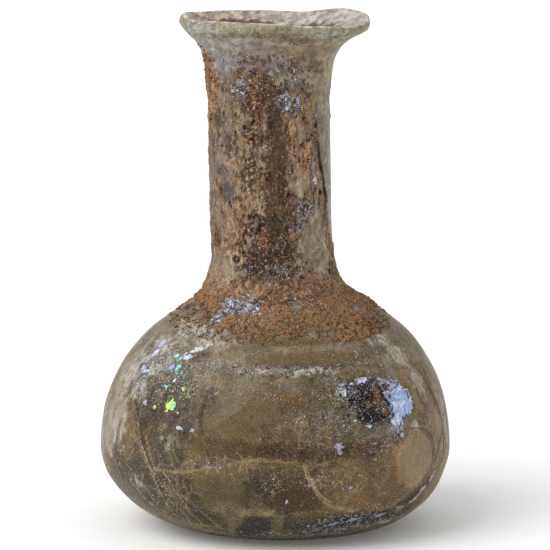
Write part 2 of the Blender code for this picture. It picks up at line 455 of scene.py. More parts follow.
class Paint:
    """Colour laid on a skin in ovals and strokes with ragged edges.

    An oval is azimuth and height of its middle, width, tall and a turn; angles are in degrees
    and lengths in millimetres. A stroke is a width and points of azimuth and height.
    """

    def __init__(self, skin, base, inside=False):
        self.skin = skin
        self.inside = inside
        self.places = skin.places()
        self.colour = np.tile(np.array(base, dtype=float), (len(self.places), 1))
        self.seed = 40

    def centre(self, height):
        wall = form()
        along = wall.inside(height * MM) if self.inside else wall.outside(height * MM)
        return along, wall.at(wall.radius, along)

    def flat(self, azimuth, height):
        """Distances across and up from a place on the flask, in millimetres."""
        along, radius = self.centre(height)
        turn = (self.skin.azimuth - math.radians(azimuth) + math.pi) % FULL_TURN - math.pi
        up = (along - self.skin.along) if self.inside else (self.skin.along - along)
        return turn * radius / MM, up / MM

    def oval(self, azimuth, height, width, tall, turn=0.0):
        """1 in the middle of an oval, 0 on its edge and less outside it."""
        across, up = self.flat(azimuth, height)
        lean = math.radians(turn)
        u = across * math.cos(lean) + up * math.sin(lean)
        v = up * math.cos(lean) - across * math.sin(lean)
        return 1.0 - np.hypot(u / (width / 2.0), v / (tall / 2.0))

    def line(self, width, *points):
        """1 on a line through the points and 0 at half its width."""
        best = np.full(len(self.places), 99.0)
        curve = curve_through(points, 5)
        for start, end in zip(curve, curve[1:]):
            across, up = self.flat(*start)
            along_end, radius = self.centre(end[1])
            along_start = self.centre(start[1])[0]
            way = np.array((math.radians(end[0] - start[0]) * radius, abs(along_end - along_start))) / MM
            way[1] *= 1.0 if end[1] >= start[1] else -1.0
            share = np.clip((across * way[0] + up * way[1]) / max(way @ way, 1e-9), 0.0, 1.0)
            best = np.minimum(best, np.hypot(across - share * way[0], up - share * way[1]))
        return 1.0 - best / (width / 2.0)

    def ovals(self, marks):
        depth = np.full(len(self.places), -99.0)
        for mark in marks:
            depth = np.maximum(depth, self.oval(*mark))
        return depth

    def ragged(self, depth, edge=0.4, rough=0.4, grain=1.5):
        """A share of 0 to 1 from a depth, with a ragged edge."""
        self.seed += 1
        near = (depth > -rough * 1.3) & (depth < edge + rough * 1.3)
        depth = depth.copy()
        depth[near] += noise_at(self.places[near], grain, self.seed, 3) * rough
        return smooth_step(depth, 0.0, edge)

    def lay(self, tint, share, strength=1.0):
        """Lays a colour over the skin by a share."""
        self.colour += (np.array(tint) - self.colour) * (share * strength)[:, None]
        return share

    def spots(self, tint, marks, strength=1.0, edge=0.4, rough=0.4, grain=1.5):
        return self.lay(tint, self.ragged(self.ovals(marks), edge, rough, grain), strength)

    def facet(self, tint, strength, *corners):
        """Lays a colour in a facet with straight sides, its corners in clockwise order."""
        depth = np.full(len(self.places), 99.0)
        for start, end in zip(corners, corners[1:] + corners[:1]):
            across, up = self.flat(*start)
            radius = self.centre(end[1])[1]
            rise = self.centre(end[1])[0] - self.centre(start[1])[0]
            way = np.array((math.radians(end[0] - start[0]) * radius, rise))
            way /= np.linalg.norm(way)
            depth = np.minimum(depth, across * way[1] - up * way[0])
        self.seed += 1
        near = depth > -1.0
        depth[near] += noise_at(self.places[near], 1.0, self.seed, 3) * 0.22
        return self.lay(tint, smooth_step(depth, -0.1, 0.35), strength)

    def stroke(self, tint, strength, rough, *line):
        return self.lay(tint, self.ragged(self.line(*line), 0.5, rough, 1.5), strength)


class Wire:
    """A value in a shader tree that takes part in arithmetic."""

    def __init__(self, tree, socket):
        self.tree = tree
        self.socket = socket

    def maths(self, operation, *values):
        node = self.tree.nodes.new("ShaderNodeMath")
        node.operation = operation
        for slot, value in zip(node.inputs, values):
            if isinstance(value, Wire):
                self.tree.links.new(value.socket, slot)
            else:
                slot.default_value = value
        return Wire(self.tree, node.outputs[0])

    def __add__(self, other):
        return self.maths("ADD", self, other)

    def __sub__(self, other):
        return self.maths("SUBTRACT", self, other)

    def __rsub__(self, other):
        return self.maths("SUBTRACT", other, self)

    def __mul__(self, other):
        return self.maths("MULTIPLY", self, other)

    __radd__ = __add__
    __rmul__ = __mul__

    def most(self, other):
        return self.maths("MAXIMUM", self, other)

    def least(self, other):
        return self.maths("MINIMUM", self, other)


class Recipe:
    """A material made of nodes, with Object coordinates in millimetres."""

    def __init__(self, name):
        self.material = bpy.data.materials.new(name)
        self.material.use_nodes = True
        self.tree = self.material.node_tree
        self.tree.nodes.clear()
        self.output = self.tree.nodes.new("ShaderNodeOutputMaterial")
        place = self.node("ShaderNodeTexCoord", output="Object")
        self.place = self.node("ShaderNodeMapping", {}, {"Vector": place, "Scale": (1000.0,) * 3})

    def node(self, kind, settings=None, inputs=None, output=0):
        """Adds a node and returns one of its outputs as a wire."""
        node = self.tree.nodes.new(kind)
        for name, value in (settings or {}).items():
            setattr(node, name, value)
        for name, value in (inputs or {}).items():
            if isinstance(value, Wire):
                self.tree.links.new(value.socket, node.inputs[name])
            else:
                node.inputs[name].default_value = value
        return Wire(self.tree, node.outputs[output])

    def stretched(self, x, y, z):
        """The place, divided by a size for each axis."""
        scale = (1.0 / x, 1.0 / y, 1.0 / z)
        return self.node("ShaderNodeMapping", {}, {"Vector": self.place, "Scale": scale})

    def noise(self, grain, detail=3.0, roughness=0.55, twist=0.0, place=None, seed=0.0):
        """Noise of 0 to 1 with features of a grain size in millimetres."""
        return self.node("ShaderNodeTexNoise", {}, {
            "Vector": self.shifted(place, seed), "Scale": 1.0 / grain, "Detail": detail,
            "Roughness": roughness, "Distortion": twist,
        })

    def shifted(self, place, seed):
        """A place moved along by a seed, so that its noise differs."""
        shift = (seed * 31.7, seed * 17.1, seed * -23.9)
        return self.node("ShaderNodeVectorMath", {"operation": "ADD"}, {0: place or self.place, 1: shift})

    def cells(self, grain, feature="F1", place=None, seed=0.0):
        return self.node(
            "ShaderNodeTexVoronoi",
            {"feature": feature},
            {"Vector": self.shifted(place, seed), "Scale": 1.0 / grain},
            output="Distance",
        )

    def twisted(self, grain, reach):
        """The place, pushed about by noise of a grain size, up to about a reach."""
        push = self.node(
            "ShaderNodeTexNoise", {}, {"Vector": self.place, "Scale": 1.0 / grain}, output="Color",
        )
        push = self.node("ShaderNodeVectorMath", {"operation": "SCALE"}, {0: push, "Scale": reach})
        return self.node("ShaderNodeVectorMath", {"operation": "ADD"}, {0: self.place, 1: push})

    def tint(self):
        return self.node("ShaderNodeAttribute", {"attribute_name": "tint"}, output="Color")

    def mark(self, name):
        return self.node("ShaderNodeAttribute", {"attribute_name": name}, output="Fac")

    def step(self, value, low, high):
        """A smooth rise from 0 at low to 1 at high."""
        return self.node(
            "ShaderNodeMapRange",
            {"interpolation_type": "SMOOTHSTEP"},
            {"Value": value, "From Min": low, "From Max": high},
        )

    def mix(self, first, second, share, blend="MIX"):
        """Blends two colours by a share."""
        node = self.tree.nodes.new("ShaderNodeMix")
        node.data_type = "RGBA"
        node.blend_type = blend
        for slot, value in ((0, share), (6, first), (7, second)):
            if isinstance(value, Wire):
                self.tree.links.new(value.socket, node.inputs[slot])
            elif slot == 0:
                node.inputs[slot].default_value = value
            else:
                node.inputs[slot].default_value = (*value, 1.0)
        return Wire(self.tree, node.outputs[2])

    def bump(self, height, depth):
        """A normal from a height of 0 to 1, depth in metres."""
        return self.node("ShaderNodeBump", {}, {"Height": height, "Distance": depth, "Strength": 1.0})

    def shader(self, **inputs):
        """A Principled shader; names have _ for a space."""
        named = {name.replace("_", " "): value for name, value in inputs.items()}
        for name in ("Base Color", "Emission Color"):
            value = named.get(name)
            if value is not None and not isinstance(value, Wire):
                named[name] = (*value, 1.0)
        return self.node("ShaderNodeBsdfPrincipled", {}, named)

    def show(self, shader):
        self.tree.links.new(shader.socket, self.output.inputs["Surface"])
        return self.material


def clear_glass():
    """Clear olive glass with a faint wave."""
    recipe = Recipe("weathered_glass")
    waves = recipe.noise(6.0, 1.0)
    dull = recipe.noise(3.0, 4.0, seed=5.0)
    return recipe.show(recipe.shader(
        Base_Color=tuple(colours().glass),
        Roughness=0.02 + recipe.step(dull, 0.4, 0.8) * 0.05,
        Normal=recipe.bump(waves, 0.05 * MM),
        IOR=1.5,
        Transmission_Weight=1.0,
    ))


def body_patina():
    """Thin film on the glass body: cracked facets, clouds, pale streaks, flecks of scale and pits."""
    recipe = Recipe("body_patina")
    grit = recipe.mark("grit")
    frost = recipe.mark("frost")
    thread = recipe.mark("thread")
    busy = 1.0 - 0.72 * recipe.mark("calm")
    clouds = recipe.step(recipe.noise(2.6, 5.0, 0.65, 0.7), 0.32, 0.68)
    mottle = recipe.step(recipe.noise(0.6, 3.0, 0.70, 0.3, seed=9.0), 0.35, 0.65)
    hue = recipe.noise(1.8, 5.0, 0.70, 0.9, seed=21.0)
    streaks = recipe.noise(0.8, 5.0, 0.70, 0.6, recipe.stretched(1.0, 1.0, 2.4), 2.0)
    veil = recipe.noise(1.1, 6.0, 0.74, 0.8, recipe.stretched(1.0, 1.0, 1.7), 5.0)
    fine = recipe.noise(0.24, 2.0, 0.7, seed=3.0)
    flecks = recipe.noise(0.36, 2.0, 0.7, seed=4.0)
    pits = recipe.noise(0.40, 2.0, 0.7, seed=6.0)
    cracked = recipe.twisted(4.0, 3.6)
    facet = recipe.cells(8.0, "F1", cracked, 1.0)
    edges = recipe.cells(8.0, "DISTANCE_TO_EDGE", cracked, 1.0)
    fibres = recipe.cells(6.5, "DISTANCE_TO_EDGE", cracked, 4.0)
    varied = 0.56 * (clouds - 0.5) + 0.36 * (mottle - 0.5) + 0.7 * (facet - 0.4)
    shade = 0.88 + varied * busy + frost * 0.10
    base = recipe.mix(recipe.tint(), shade, 1.0, "MULTIPLY")
    base = recipe.mix(base, (1.0, 0.97, 0.86), 1.0 - frost, "MULTIPLY")
    base = recipe.mix(base, tone(116, 78, 32), recipe.step(hue, 0.52, 0.64) * (0.26 - frost * 0.10) * busy)
    base = recipe.mix(base, tone(112, 110, 90), recipe.step(hue, 0.47, 0.36) * 0.50 * busy)
    lines = recipe.step(edges, 0.030, 0.0).most(recipe.step(fibres, 0.035, 0.0) * thread)
    base = recipe.mix(base, tone(178, 162, 132), lines * (0.14 + 0.30 * thread))
    worn = veil * 0.5 + streaks * 0.3 + fine * 0.2
    pale = recipe.step(worn + frost * 0.10, 0.54, 0.63)
    base = recipe.mix(base, tone(188, 180, 168), pale * (0.20 * busy + 0.78 * frost))
    dark = recipe.step(worn, 0.48, 0.42)
    base = recipe.mix(base, tone(48, 36, 22), dark * (0.32 * busy + 0.55 * frost))
    base = recipe.mix(base, tone(34, 25, 14), recipe.step(fine, 0.57, 0.64) * (0.26 * busy + 0.6 * grit))
    base = recipe.mix(base, tone(168, 150, 112), recipe.step(fine, 0.42, 0.36) * (0.18 * busy + 0.3 * grit))
    base = recipe.mix(
        base, tone(190, 186, 186), recipe.step(flecks, 0.58, 0.62) * (0.14 * busy + 0.86 * grit),
    )
    base = recipe.mix(base, tone(18, 14, 12), recipe.step(pits, 0.61, 0.64) * (0.38 * busy + 0.62 * grit))
    cover = recipe.mark("cover") + (veil - 0.5) * 0.5 + recipe.step(flecks, 0.60, 0.65) * 0.3
    return recipe.show(recipe.shader(
        Base_Color=base,
        Roughness=0.30 + recipe.step(veil, 0.35, 0.65) * 0.3 + frost * 0.15,
        Alpha=cover.most(0.0).least(1.0),
        Normal=recipe.bump(streaks * 0.4 + fine * 0.3 + flecks * 0.3, 0.26 * MM),
        Specular_IOR_Level=0.22,
    ))


def neck_crust():
    """Wrinkled crust on the neck, like bark, with grains and small dark cracks."""
    recipe = Recipe("neck_crust")
    rough = recipe.mark("rough")
    streaks = recipe.noise(0.80, 4.0, 0.68, 0.4, recipe.stretched(1.0, 1.0, 2.2), 2.0)
    hue = recipe.noise(1.5, 5.0, 0.70, 0.8, recipe.stretched(1.0, 1.0, 1.4), 3.0)
    fine = recipe.noise(0.26, 2.0, 0.7, seed=4.0)
    grain = recipe.noise(0.40, 3.0, 0.70, seed=7.0)
    crack = recipe.noise(0.85, 3.0, 0.65, 0.5, recipe.stretched(1.0, 1.0, 2.2), 8.0)
    cloud = recipe.noise(1.2, 5.0, 0.68, 0.6, seed=12.0)
    shade = 0.46 + 0.85 * recipe.step(streaks, 0.36, 0.62) + 0.5 * (recipe.step(grain, 0.36, 0.64) - 0.5)
    shade = shade * rough + (1.0 - rough) * (0.66 + 0.72 * recipe.step(cloud, 0.34, 0.66))
    broad = recipe.noise(3.4, 3.0, 0.6, 0.6, seed=15.0)
    shade = shade * (0.74 + 0.50 * recipe.step(broad, 0.38, 0.62))
    base = recipe.mix(recipe.tint(), shade, 1.0, "MULTIPLY")
    base = recipe.mix(base, tone(138, 98, 64), recipe.step(hue, 0.55, 0.65) * (0.16 + 0.26 * rough))
    base = recipe.mix(base, tone(126, 120, 116), recipe.step(hue, 0.46, 0.36) * (0.25 + 0.30 * rough))
    base = recipe.mix(base, tone(204, 176, 142), recipe.step(grain, 0.585, 0.66) * (0.16 + 0.5 * rough))
    base = recipe.mix(base, tone(44, 30, 20), recipe.step(fine, 0.57, 0.65) * (0.22 + 0.34 * rough))
    hole = recipe.step(crack + (cloud - 0.5) * 0.35, 0.585, 0.63)
    base = recipe.mix(base, tone(24, 14, 8), hole * (0.08 + 0.84 * rough))
    cover = recipe.mark("cover") + (grain - 0.5) * 0.2
    return recipe.show(recipe.shader(
        Base_Color=base,
        Roughness=0.50 + rough * 0.40,
        Alpha=cover.most(0.0).least(1.0),
        Normal=recipe.bump(streaks * 0.5 + grain * 0.3 + fine * 0.2, 0.42 * MM),
        Specular_IOR_Level=0.22,
    ))


def rim_patina():
    """Frosted film on the flare, over the lip and down its inner side."""
    recipe = Recipe("rim_patina")
    grit = recipe.mark("grit")
    clouds = recipe.noise(1.6, 5.0, 0.65, 0.5)
    fine = recipe.noise(0.32, 3.0, 0.7, seed=3.0)
    frost = recipe.noise(0.6, 4.0, 0.7, 0.3, seed=5.0)
    shade = 0.60 + 0.65 * recipe.step(clouds, 0.33, 0.68)
    base = recipe.mix(recipe.tint(), shade, 1.0, "MULTIPLY")
    base = recipe.mix(base, tone(168, 168, 178), recipe.step(frost, 0.55, 0.66) * (0.06 + 0.75 * grit))
    base = recipe.mix(base, tone(52, 38, 26), recipe.step(fine, 0.57, 0.68) * 0.6)
    cover = recipe.mark("cover") + (clouds - 0.5) * 0.4
    return recipe.show(recipe.shader(
        Base_Color=base,
        Roughness=0.45 + recipe.step(frost, 0.4, 0.7) * 0.25,
        Alpha=cover.most(0.0).least(1.0),
        Normal=recipe.bump(clouds * 0.5 + frost * 0.5, 0.22 * MM),
        Specular_IOR_Level=0.4,
    ))


def inner_film():
    """Olive film on the inner face, seen through the glass."""
    recipe = Recipe("inner_film")
    broad = recipe.noise(7.0, 5.0, twist=0.8)
    fine = recipe.noise(0.5, 3.0, seed=7.0)
    shade = 0.60 + 0.8 * recipe.step(broad, 0.3, 0.7)
    base = recipe.mix(recipe.tint(), shade, 1.0, "MULTIPLY")
    base = recipe.mix(base, tone(40, 30, 18), recipe.step(fine, 0.60, 0.70) * 0.5)
    return recipe.show(recipe.shader(
        Base_Color=base, Roughness=0.6, Alpha=0.94, Normal=recipe.bump(fine, 0.2 * MM),
    ))


def neck_soil():
    """Damp brown soil inside the neck."""
    recipe = Recipe("neck_soil")
    lumps = recipe.noise(1.5, 5.0, 0.65)
    grain = recipe.noise(0.3, 3.0, 0.7, seed=4.0)
    base = recipe.mix(recipe.tint(), 0.5 + 0.9 * recipe.step(lumps, 0.3, 0.7), 1.0, "MULTIPLY")
    base = recipe.mix(base, tone(50, 30, 18), recipe.step(grain, 0.56, 0.68) * 0.6)
    return recipe.show(recipe.shader(
        Base_Color=base, Roughness=0.9, Normal=recipe.bump(lumps * 0.5 + grain * 0.5, 0.3 * MM),
    ))


def sandy_soil():
    """Orange-brown sandy crust of loose grains."""
    recipe = Recipe("sandy_soil")
    grains = recipe.noise(0.30, 4.0, 0.74)
    fine = recipe.noise(0.18, 2.0, 0.7, seed=3.0)
    broad = recipe.noise(2.0, 6.0, 0.65, seed=2.0)
    gaps = recipe.noise(0.28, 2.0, seed=6.0)
    base = recipe.mix(recipe.tint(), 0.55 + 0.85 * recipe.step(grains, 0.36, 0.66), 1.0, "MULTIPLY")
    base = recipe.mix(base, tone(120, 106, 88), recipe.step(broad, 0.48, 0.62) * 0.6)
    base = recipe.mix(base, tone(200, 160, 116), recipe.step(fine, 0.56, 0.65) * 0.55)
    base = recipe.mix(base, tone(46, 31, 20), recipe.step(gaps, 0.54, 0.62) * 0.80)
    return recipe.show(recipe.shader(
        Base_Color=base, Roughness=0.92, Normal=recipe.bump(grains * 0.6 + fine * 0.4, 0.36 * MM),
        Specular_IOR_Level=0.2,
    ))


def scale_flakes():
    """Flakes and chips of weathered glass: mottled, with darker veins."""
    recipe = Recipe("scale_flakes")
    grain = recipe.noise(0.7, 6.0, 0.78, 0.5)
    fine = recipe.noise(0.30, 4.0, 0.75, seed=3.0)
    base = recipe.mix(recipe.tint(), 0.45 + 0.80 * recipe.step(grain, 0.38, 0.60), 1.0, "MULTIPLY")
    base = recipe.mix(base, tone(236, 240, 246), recipe.step(fine, 0.44, 0.34) * 0.55)
    base = recipe.mix(base, tone(80, 80, 92), recipe.step(fine, 0.56, 0.64) * 0.45)
    return recipe.show(recipe.shader(
        Base_Color=base,
        Roughness=0.30 + grain * 0.3,
        Normal=recipe.bump(grain * 0.6 + fine * 0.4, 0.30 * MM),
    ))


def film_threads():
    """Threads and cracks of the film, broken by noise."""
    recipe = Recipe("film_threads")
    grain = recipe.noise(0.5, 4.0, 0.7)
    base = recipe.mix(recipe.tint(), 0.65 + 0.6 * recipe.step(grain, 0.36, 0.62), 1.0, "MULTIPLY")
    return recipe.show(recipe.shader(
        Base_Color=base,
        Roughness=0.45,
        Alpha=0.22 + 0.48 * recipe.step(recipe.noise(0.9, 3.0, 0.7, seed=5.0), 0.40, 0.58),
        Specular_IOR_Level=0.3,
    ))


def iron_scale():
    """Black scale of an iron stain, with rust and bright specks in its hollows."""
    recipe = Recipe("iron_scale")
    grain = recipe.noise(0.55, 5.0, 0.75, 0.5)
    fine = recipe.noise(0.26, 3.0, 0.7, seed=3.0)
    rust = recipe.noise(0.8, 5.0, 0.7, 0.6, seed=7.0)
    base = recipe.mix(recipe.tint(), 0.25 + 1.2 * recipe.step(grain, 0.38, 0.62), 1.0, "MULTIPLY")
    base = recipe.mix(base, tone(116, 78, 50), recipe.step(rust, 0.54, 0.60) * 0.5)
    base = recipe.mix(base, tone(196, 192, 204), recipe.step(fine, 0.585, 0.63) * 0.8)
    base = recipe.mix(base, tone(8, 7, 7), recipe.step(fine, 0.48, 0.42) * 0.9)
    return recipe.show(recipe.shader(
        Base_Color=base, Roughness=0.55, Normal=recipe.bump(grain * 0.6 + fine * 0.4, 0.5 * MM),
        Specular_IOR_Level=0.2,
    ))


def floor_paper():
    """Pale paper that glows a little, so that it stays as light as the studio's."""
    recipe = Recipe("floor_paper")
    base = recipe.mix(tuple(colours().floor), (0.92, 0.92, 0.92), recipe.noise(30.0, 2.0))
    return recipe.show(recipe.shader(
        Base_Color=base,
        Roughness=0.9,
        Specular_IOR_Level=0.1,
        Emission_Color=(1.0, 1.0, 1.0),
        Emission_Strength=0.07,
    ))


class FLASK_OT_glass_wall(Operator):
    """Builds the clear glass, hollow and open at the mouth"""
    bl_idname = "flask.glass_wall"
    bl_label = "Glass wall"

    row = 2.6 * MM
    lip_row = 0.9 * MM
    lip_band = 4.0 * MM

    def execute(self, context):
        wall = form()
        lip_low = wall.outside(wall.lip_height - self.lip_band)
        lip_high = wall.inside(wall.lip_height - self.lip_band)
        ways = section_way(0.0, lip_low, self.row)[:-1]
        ways += section_way(lip_low, lip_high, self.lip_row)[:-1]
        ways += section_way(lip_high, wall.along[-1], self.row)
        skin = Skin()
        skin.spin([(along, 0.0) for along in ways], 50, 2)
        places = skin.places()
        wobble = noise_at(places, 13.0, 1) * 0.03 * MM + noise_at(places, 4.0, 2) * 0.02 * MM
        skin.lift = wobble - 0.16 * MM
        piece = skin.finish("glass_wall", clear_glass())
        piece.visible_shadow = False
        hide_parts("flask")
        return {"FINISHED"}


class FLASK_OT_inner_film(Operator):
    """Builds the film of weathering on the inner face of the body"""
    bl_idname = "flask.inner_film"
    bl_label = "Inner film"

    def execute(self, context):
        wall = form()
        skin = Skin()
        skin.ring(wall.inside(sizes().film_top), wall.along[-1] - 5.0 * MM, 1.5 * MM, 3.0 * MM, 60, 3)
        paint = Paint(skin, tuple(colours().film), inside=True)
        paint.spots(
            tone(132, 118, 84), ((-96, 27, 18, 9), (-100, 13, 14, 8), (-80, 37, 34, 8), (-66, 13, 12, 9)),
        )
        paint.spots(
            tone(70, 54, 32), ((-128, 29, 14, 18), (-60, 29, 9, 9), (-82, 15, 18, 4), (-48, 5, 16, 5)),
        )
        paint.spots(tone(140, 126, 106), ((-156, 18, 16, 20), (-24, 25, 12, 34), (-36, 17, 10, 12, 20)))
        paint.stroke(tone(66, 46, 24), 0.9, 0.5, 4.0, (-118, 19.5), (-95, 21.0), (-75, 21.5), (-50, 20.0))
        rough = noise_at(paint.places, 2.5, 5, 3)
        skin.settle(0.16 * MM + 0.08 * MM * rough, -0.06 * MM)
        piece = skin.finish("inner_film", inner_film(), paint.colour)
        return {"FINISHED"}


class FLASK_OT_neck_lining(Operator):
    """Builds the soil inside the neck, with its bare strip at the right"""
    bl_idname = "flask.neck_lining"
    bl_label = "Neck lining"

    def execute(self, context):
        wall = form()
        size = sizes()
        top = wall.inside(size.lining_top)
        foot = wall.inside(size.lining_foot)
        skin = Skin()
        skin.spin([(along, 1.0) for along in section_way(top, foot, 3.0 * MM)], 60, 3)
        paint = Paint(skin, tuple(colours().lining), inside=True)
        height = wall.at(wall.height, skin.along)
        tall = size.lining_top - size.lining_foot
        front_edge = np.radians(-49.0 + 19.0 * (size.lining_top - height) / tall)
        past = (skin.azimuth - front_edge) % FULL_TURN
        strip = math.radians(8.0) - front_edge
        ragged = noise_at(paint.places, 2.0, 8, 3) * math.radians(2.0)
        cover = np.where(past < strip, np.maximum(-past, past - strip), 1.0) + ragged
        skin.keep(cover)
        paint = Paint(skin, tuple(colours().lining), inside=True)
        paint.spots(
            tone(150, 112, 74),
            ((-140, 80, 12, 26), (-100, 86, 14, 10), (60, 78, 20, 22), (140, 62, 16, 20)),
        )
        lumps = noise_at(paint.places, 1.8, 10, 4)
        skin.settle(size.lining_thickness + 0.35 * MM * lumps, -0.05 * MM - 0.05 * MM * np.abs(lumps))
        piece = skin.finish("neck_soil_lining", neck_soil(), paint.colour)
        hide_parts("neck_lining")
        return {"FINISHED"}


class FLASK_OT_body_patina(Operator):
    """Builds the thin outer film on the body"""
    bl_idname = "flask.body_patina"
    bl_label = "Body patina"

    # Facets, sides, lower and washes: tint, strength and ovals. Panes: tint, strength and corners.
    # Lines: strength, width and points. The rest are ovals.
    facets = (
        (tone(116, 98, 60), 0.9, ((-98, 28, 22, 10), (-103, 25, 13, 9), (-78, 30, 22, 8))),
        (
            tone(124, 106, 70), 0.9,
            ((-82, 37.5, 40, 5), (-108, 37, 18, 5), (-60, 36.5, 18, 5), (-101, 29, 12, 6)),
        ),
        (tone(112, 88, 48), 0.8, ((-84, 29.5, 9, 6), (-90, 24.5, 12, 3))),
        (tone(98, 84, 48), 0.95, ((-113, 21.5, 17, 4.6), (-104, 21.5, 12, 4))),
        (tone(104, 92, 56), 0.95, ((-112, 12.8, 18, 6.5), (-100, 12.0, 14, 6))),
        (tone(74, 56, 32), 0.95, ((-87, 12, 15, 10), (-84, 6, 14, 6), (-76, 16.5, 8, 3))),
        (tone(104, 82, 46), 0.95, ((-70, 15.5, 12, 6), (-60, 16, 10, 5))),
        (tone(126, 96, 50), 0.9, ((-63, 11, 11, 4.5, -10), (-50, 9, 8, 3))),
        (
            tone(74, 61, 52), 0.97,
            ((-134, 30, 16, 8, 8), (-126, 26.5, 17, 9), (-139, 27, 8, 8), (-117, 30, 8, 6)),
        ),
        (tone(68, 56, 38), 0.9, ((-129, 18.5, 15, 13, -15), (-124, 12, 12, 9, -20))),
        (tone(84, 76, 66), 0.9, ((-132, 19, 8, 7), (-128, 21, 8, 5))),
        (tone(78, 64, 48), 0.9, ((-150, 13, 12, 9, -20), (-143, 9, 12, 7, -20), (-156, 9, 10, 6))),
        (tone(72, 62, 48), 0.9, ((-134, 12, 15, 11, -20), (-124, 7, 13, 7))),
        (tone(148, 144, 156), 0.85, ((-115, 45, 10, 5.6, 20),)),
        (tone(104, 95, 76), 0.85, ((-72, 27, 20, 9), (-64, 24, 14, 5), (-80, 33, 10, 3))),
        (tone(96, 86, 72), 0.9, ((-82, 35.6, 18, 2.2), (-98, 34.6, 16, 2.6), (-69, 33.4, 8, 3, -30))),
    )
    sides = (
        (tone(92, 80, 64), 0.95, ((-162, 9, 18, 9), (-150, 13, 10, 10))),
        (tone(160, 149, 136), 0.95, ((-164, 22, 14, 12), (-155, 23, 7, 10), (-160, 32, 12, 16))),
        (
            tone(174, 167, 160), 0.75,
            ((-162, 25, 4, 9), (-157, 22, 3, 7), (-136, 41, 18, 4.0, 6), (-148, 39.5, 12, 5)),
        ),
        (tone(124, 128, 116), 0.9, ((-171, 17, 6, 12),)),
        (tone(138, 129, 118), 0.9, ((-146, 36, 14, 7), (-126, 39, 12, 4), (-164, 38, 14, 8))),
        (tone(152, 129, 95), 0.95, ((-24, 22, 14, 18), (-15, 28, 14, 16), (-30, 31, 10, 9))),
        (
            tone(156, 140, 124), 0.7,
            ((-32, 36, 7, 6, 20), (-28, 31, 4, 7), (-38, 39, 8, 3), (-12, 20, 3, 14)),
        ),
        (tone(120, 104, 78), 0.9, ((-50, 38, 12, 6), (-44, 34.5, 8, 4))),
        (tone(104, 84, 54), 0.8, ((-29, 27, 2.4, 10, 10), (-20, 30, 2, 12, -8), (-36, 30, 2.4, 5))),
    )
    lower = (
        (tone(72, 66, 44), 0.9, ((-90, 1.6, 70, 5.0),)),
        (tone(54, 48, 32), 0.95, ((-62, 4.8, 30, 6.6, 6), (-38, 8.4, 12, 3.6, 30))),
    )
    panes = (
        (tone(110, 96, 60), 0.75, (-118, 15.6), (-103, 16.2), (-101, 9.0), (-114, 8.6)),
        (tone(122, 106, 70), 0.55, (-119, 31.0), (-104, 32.5), (-99, 28.0), (-105, 24.4), (-118, 24.0)),
        (tone(104, 84, 52), 0.50, (-99, 23.6), (-84, 27.4), (-70, 24.0), (-80, 22.6)),
        (tone(128, 104, 64), 0.60, (-78, 17.2), (-62, 18.4), (-54, 12.0), (-70, 10.4)),
        (tone(70, 66, 42), 0.80, (-119, 8.2), (-107, 8.3), (-112.0, 3.0), (-123, 3.4)),
        (tone(124, 118, 82), 0.85, (-107, 8.4), (-104.2, 7.5), (-111.5, 2.2), (-114.5, 2.2)),
        (tone(126, 118, 82), 0.85, (-92, 8.4), (-87.6, 8.2), (-89.5, 3.0), (-94.5, 2.4)),
        (tone(146, 136, 98), 0.90, (-104.5, 9.2), (-90.5, 9.2), (-91.5, 7.8), (-104, 7.5)),
        (tone(38, 35, 19), 0.98, (-104, 7.5), (-92, 7.8), (-95, 2.2), (-112.5, 2.0)),
    )
    washes = (
        (tone(58, 42, 20), 0.75, ((-83, 16.7, 8, 4.6), (-91, 16.4, 13, 4.2), (-76, 12.4, 6, 4.5))),
        (tone(56, 46, 30), 0.70, ((-121, 6.4, 16, 5), (-67, 7.2, 9, 3.6))),
        (tone(160, 162, 164), 0.60, ((-140, 35, 9, 5, 30), (-147, 30.5, 6, 6, 10))),
        (tone(142, 134, 124), 0.55, ((-143, 27, 4.5, 6),)),
        (tone(150, 146, 148), 0.60, ((-52, 23.7, 7, 4), (-42.5, 23.4, 6, 4))),
        (tone(92, 78, 54), 0.50, ((-99, 32.4, 9, 4),)),
        (tone(180, 170, 158), 0.75, ((-151, 42, 11, 4),)),
    )
    lines = (
        (
            0.75, 0.5,
            (
                (-132, 15.8), (-122, 15.9), (-113, 17.0), (-106, 17.9), (-100, 18.8), (-92, 19.1),
                (-85, 18.7),
            ),
        ),
        (0.60, 0.4, ((-120, 17.6), (-115, 18.8), (-109, 19.1), (-105, 18.5))),
        (0.95, 0.9, ((-81, 17.9), (-79, 15.5), (-75, 11.6), (-70, 9.2), (-62, 8.0))),
        (0.75, 0.5, ((-142, 26.0), (-139, 19.0), (-131, 14.0), (-124, 9.0), (-119, 3.0))),
        (0.75, 0.5, ((-137, 22.0), (-130, 14.0), (-120, 10.0), (-113, 4.0))),
        (0.65, 0.5, ((-132, 12.0), (-126, 7.0), (-128, 3.0))),
        (0.60, 0.5, ((-22, 38.0), (-27, 33.0), (-24, 28.0), (-21, 20.0), (-19, 13.0))),
        (0.35, 0.4, ((-86, 26.0), (-80, 23.0), (-76, 20.5))),
    )
    calm = (
        (-38, 17, 12.5, 11.5, 15), (-112, 12.8, 16, 6.5), (-100, 12, 13, 6), (-98, 28, 17, 8),
        (-97, 5.4, 8.5, 4.2), (-164, 22, 5, 18), (-154, 24, 4, 8), (-98, 5, 17, 7), (-72, 37, 30, 4),
        (-50, 14, 9, 6), (-86, 40, 20, 3), (-112, 27, 12, 8), (-82, 29, 14, 5), (-116, 6, 9, 5),
        (-70, 14, 10, 5), (-104, 21.5, 20, 3.4), (-84, 11, 10, 6),
    )
    thin = ((-97, 5.4, 8.5, 4.2), (-98, 27, 16, 8), (-105, 13, 18, 6))
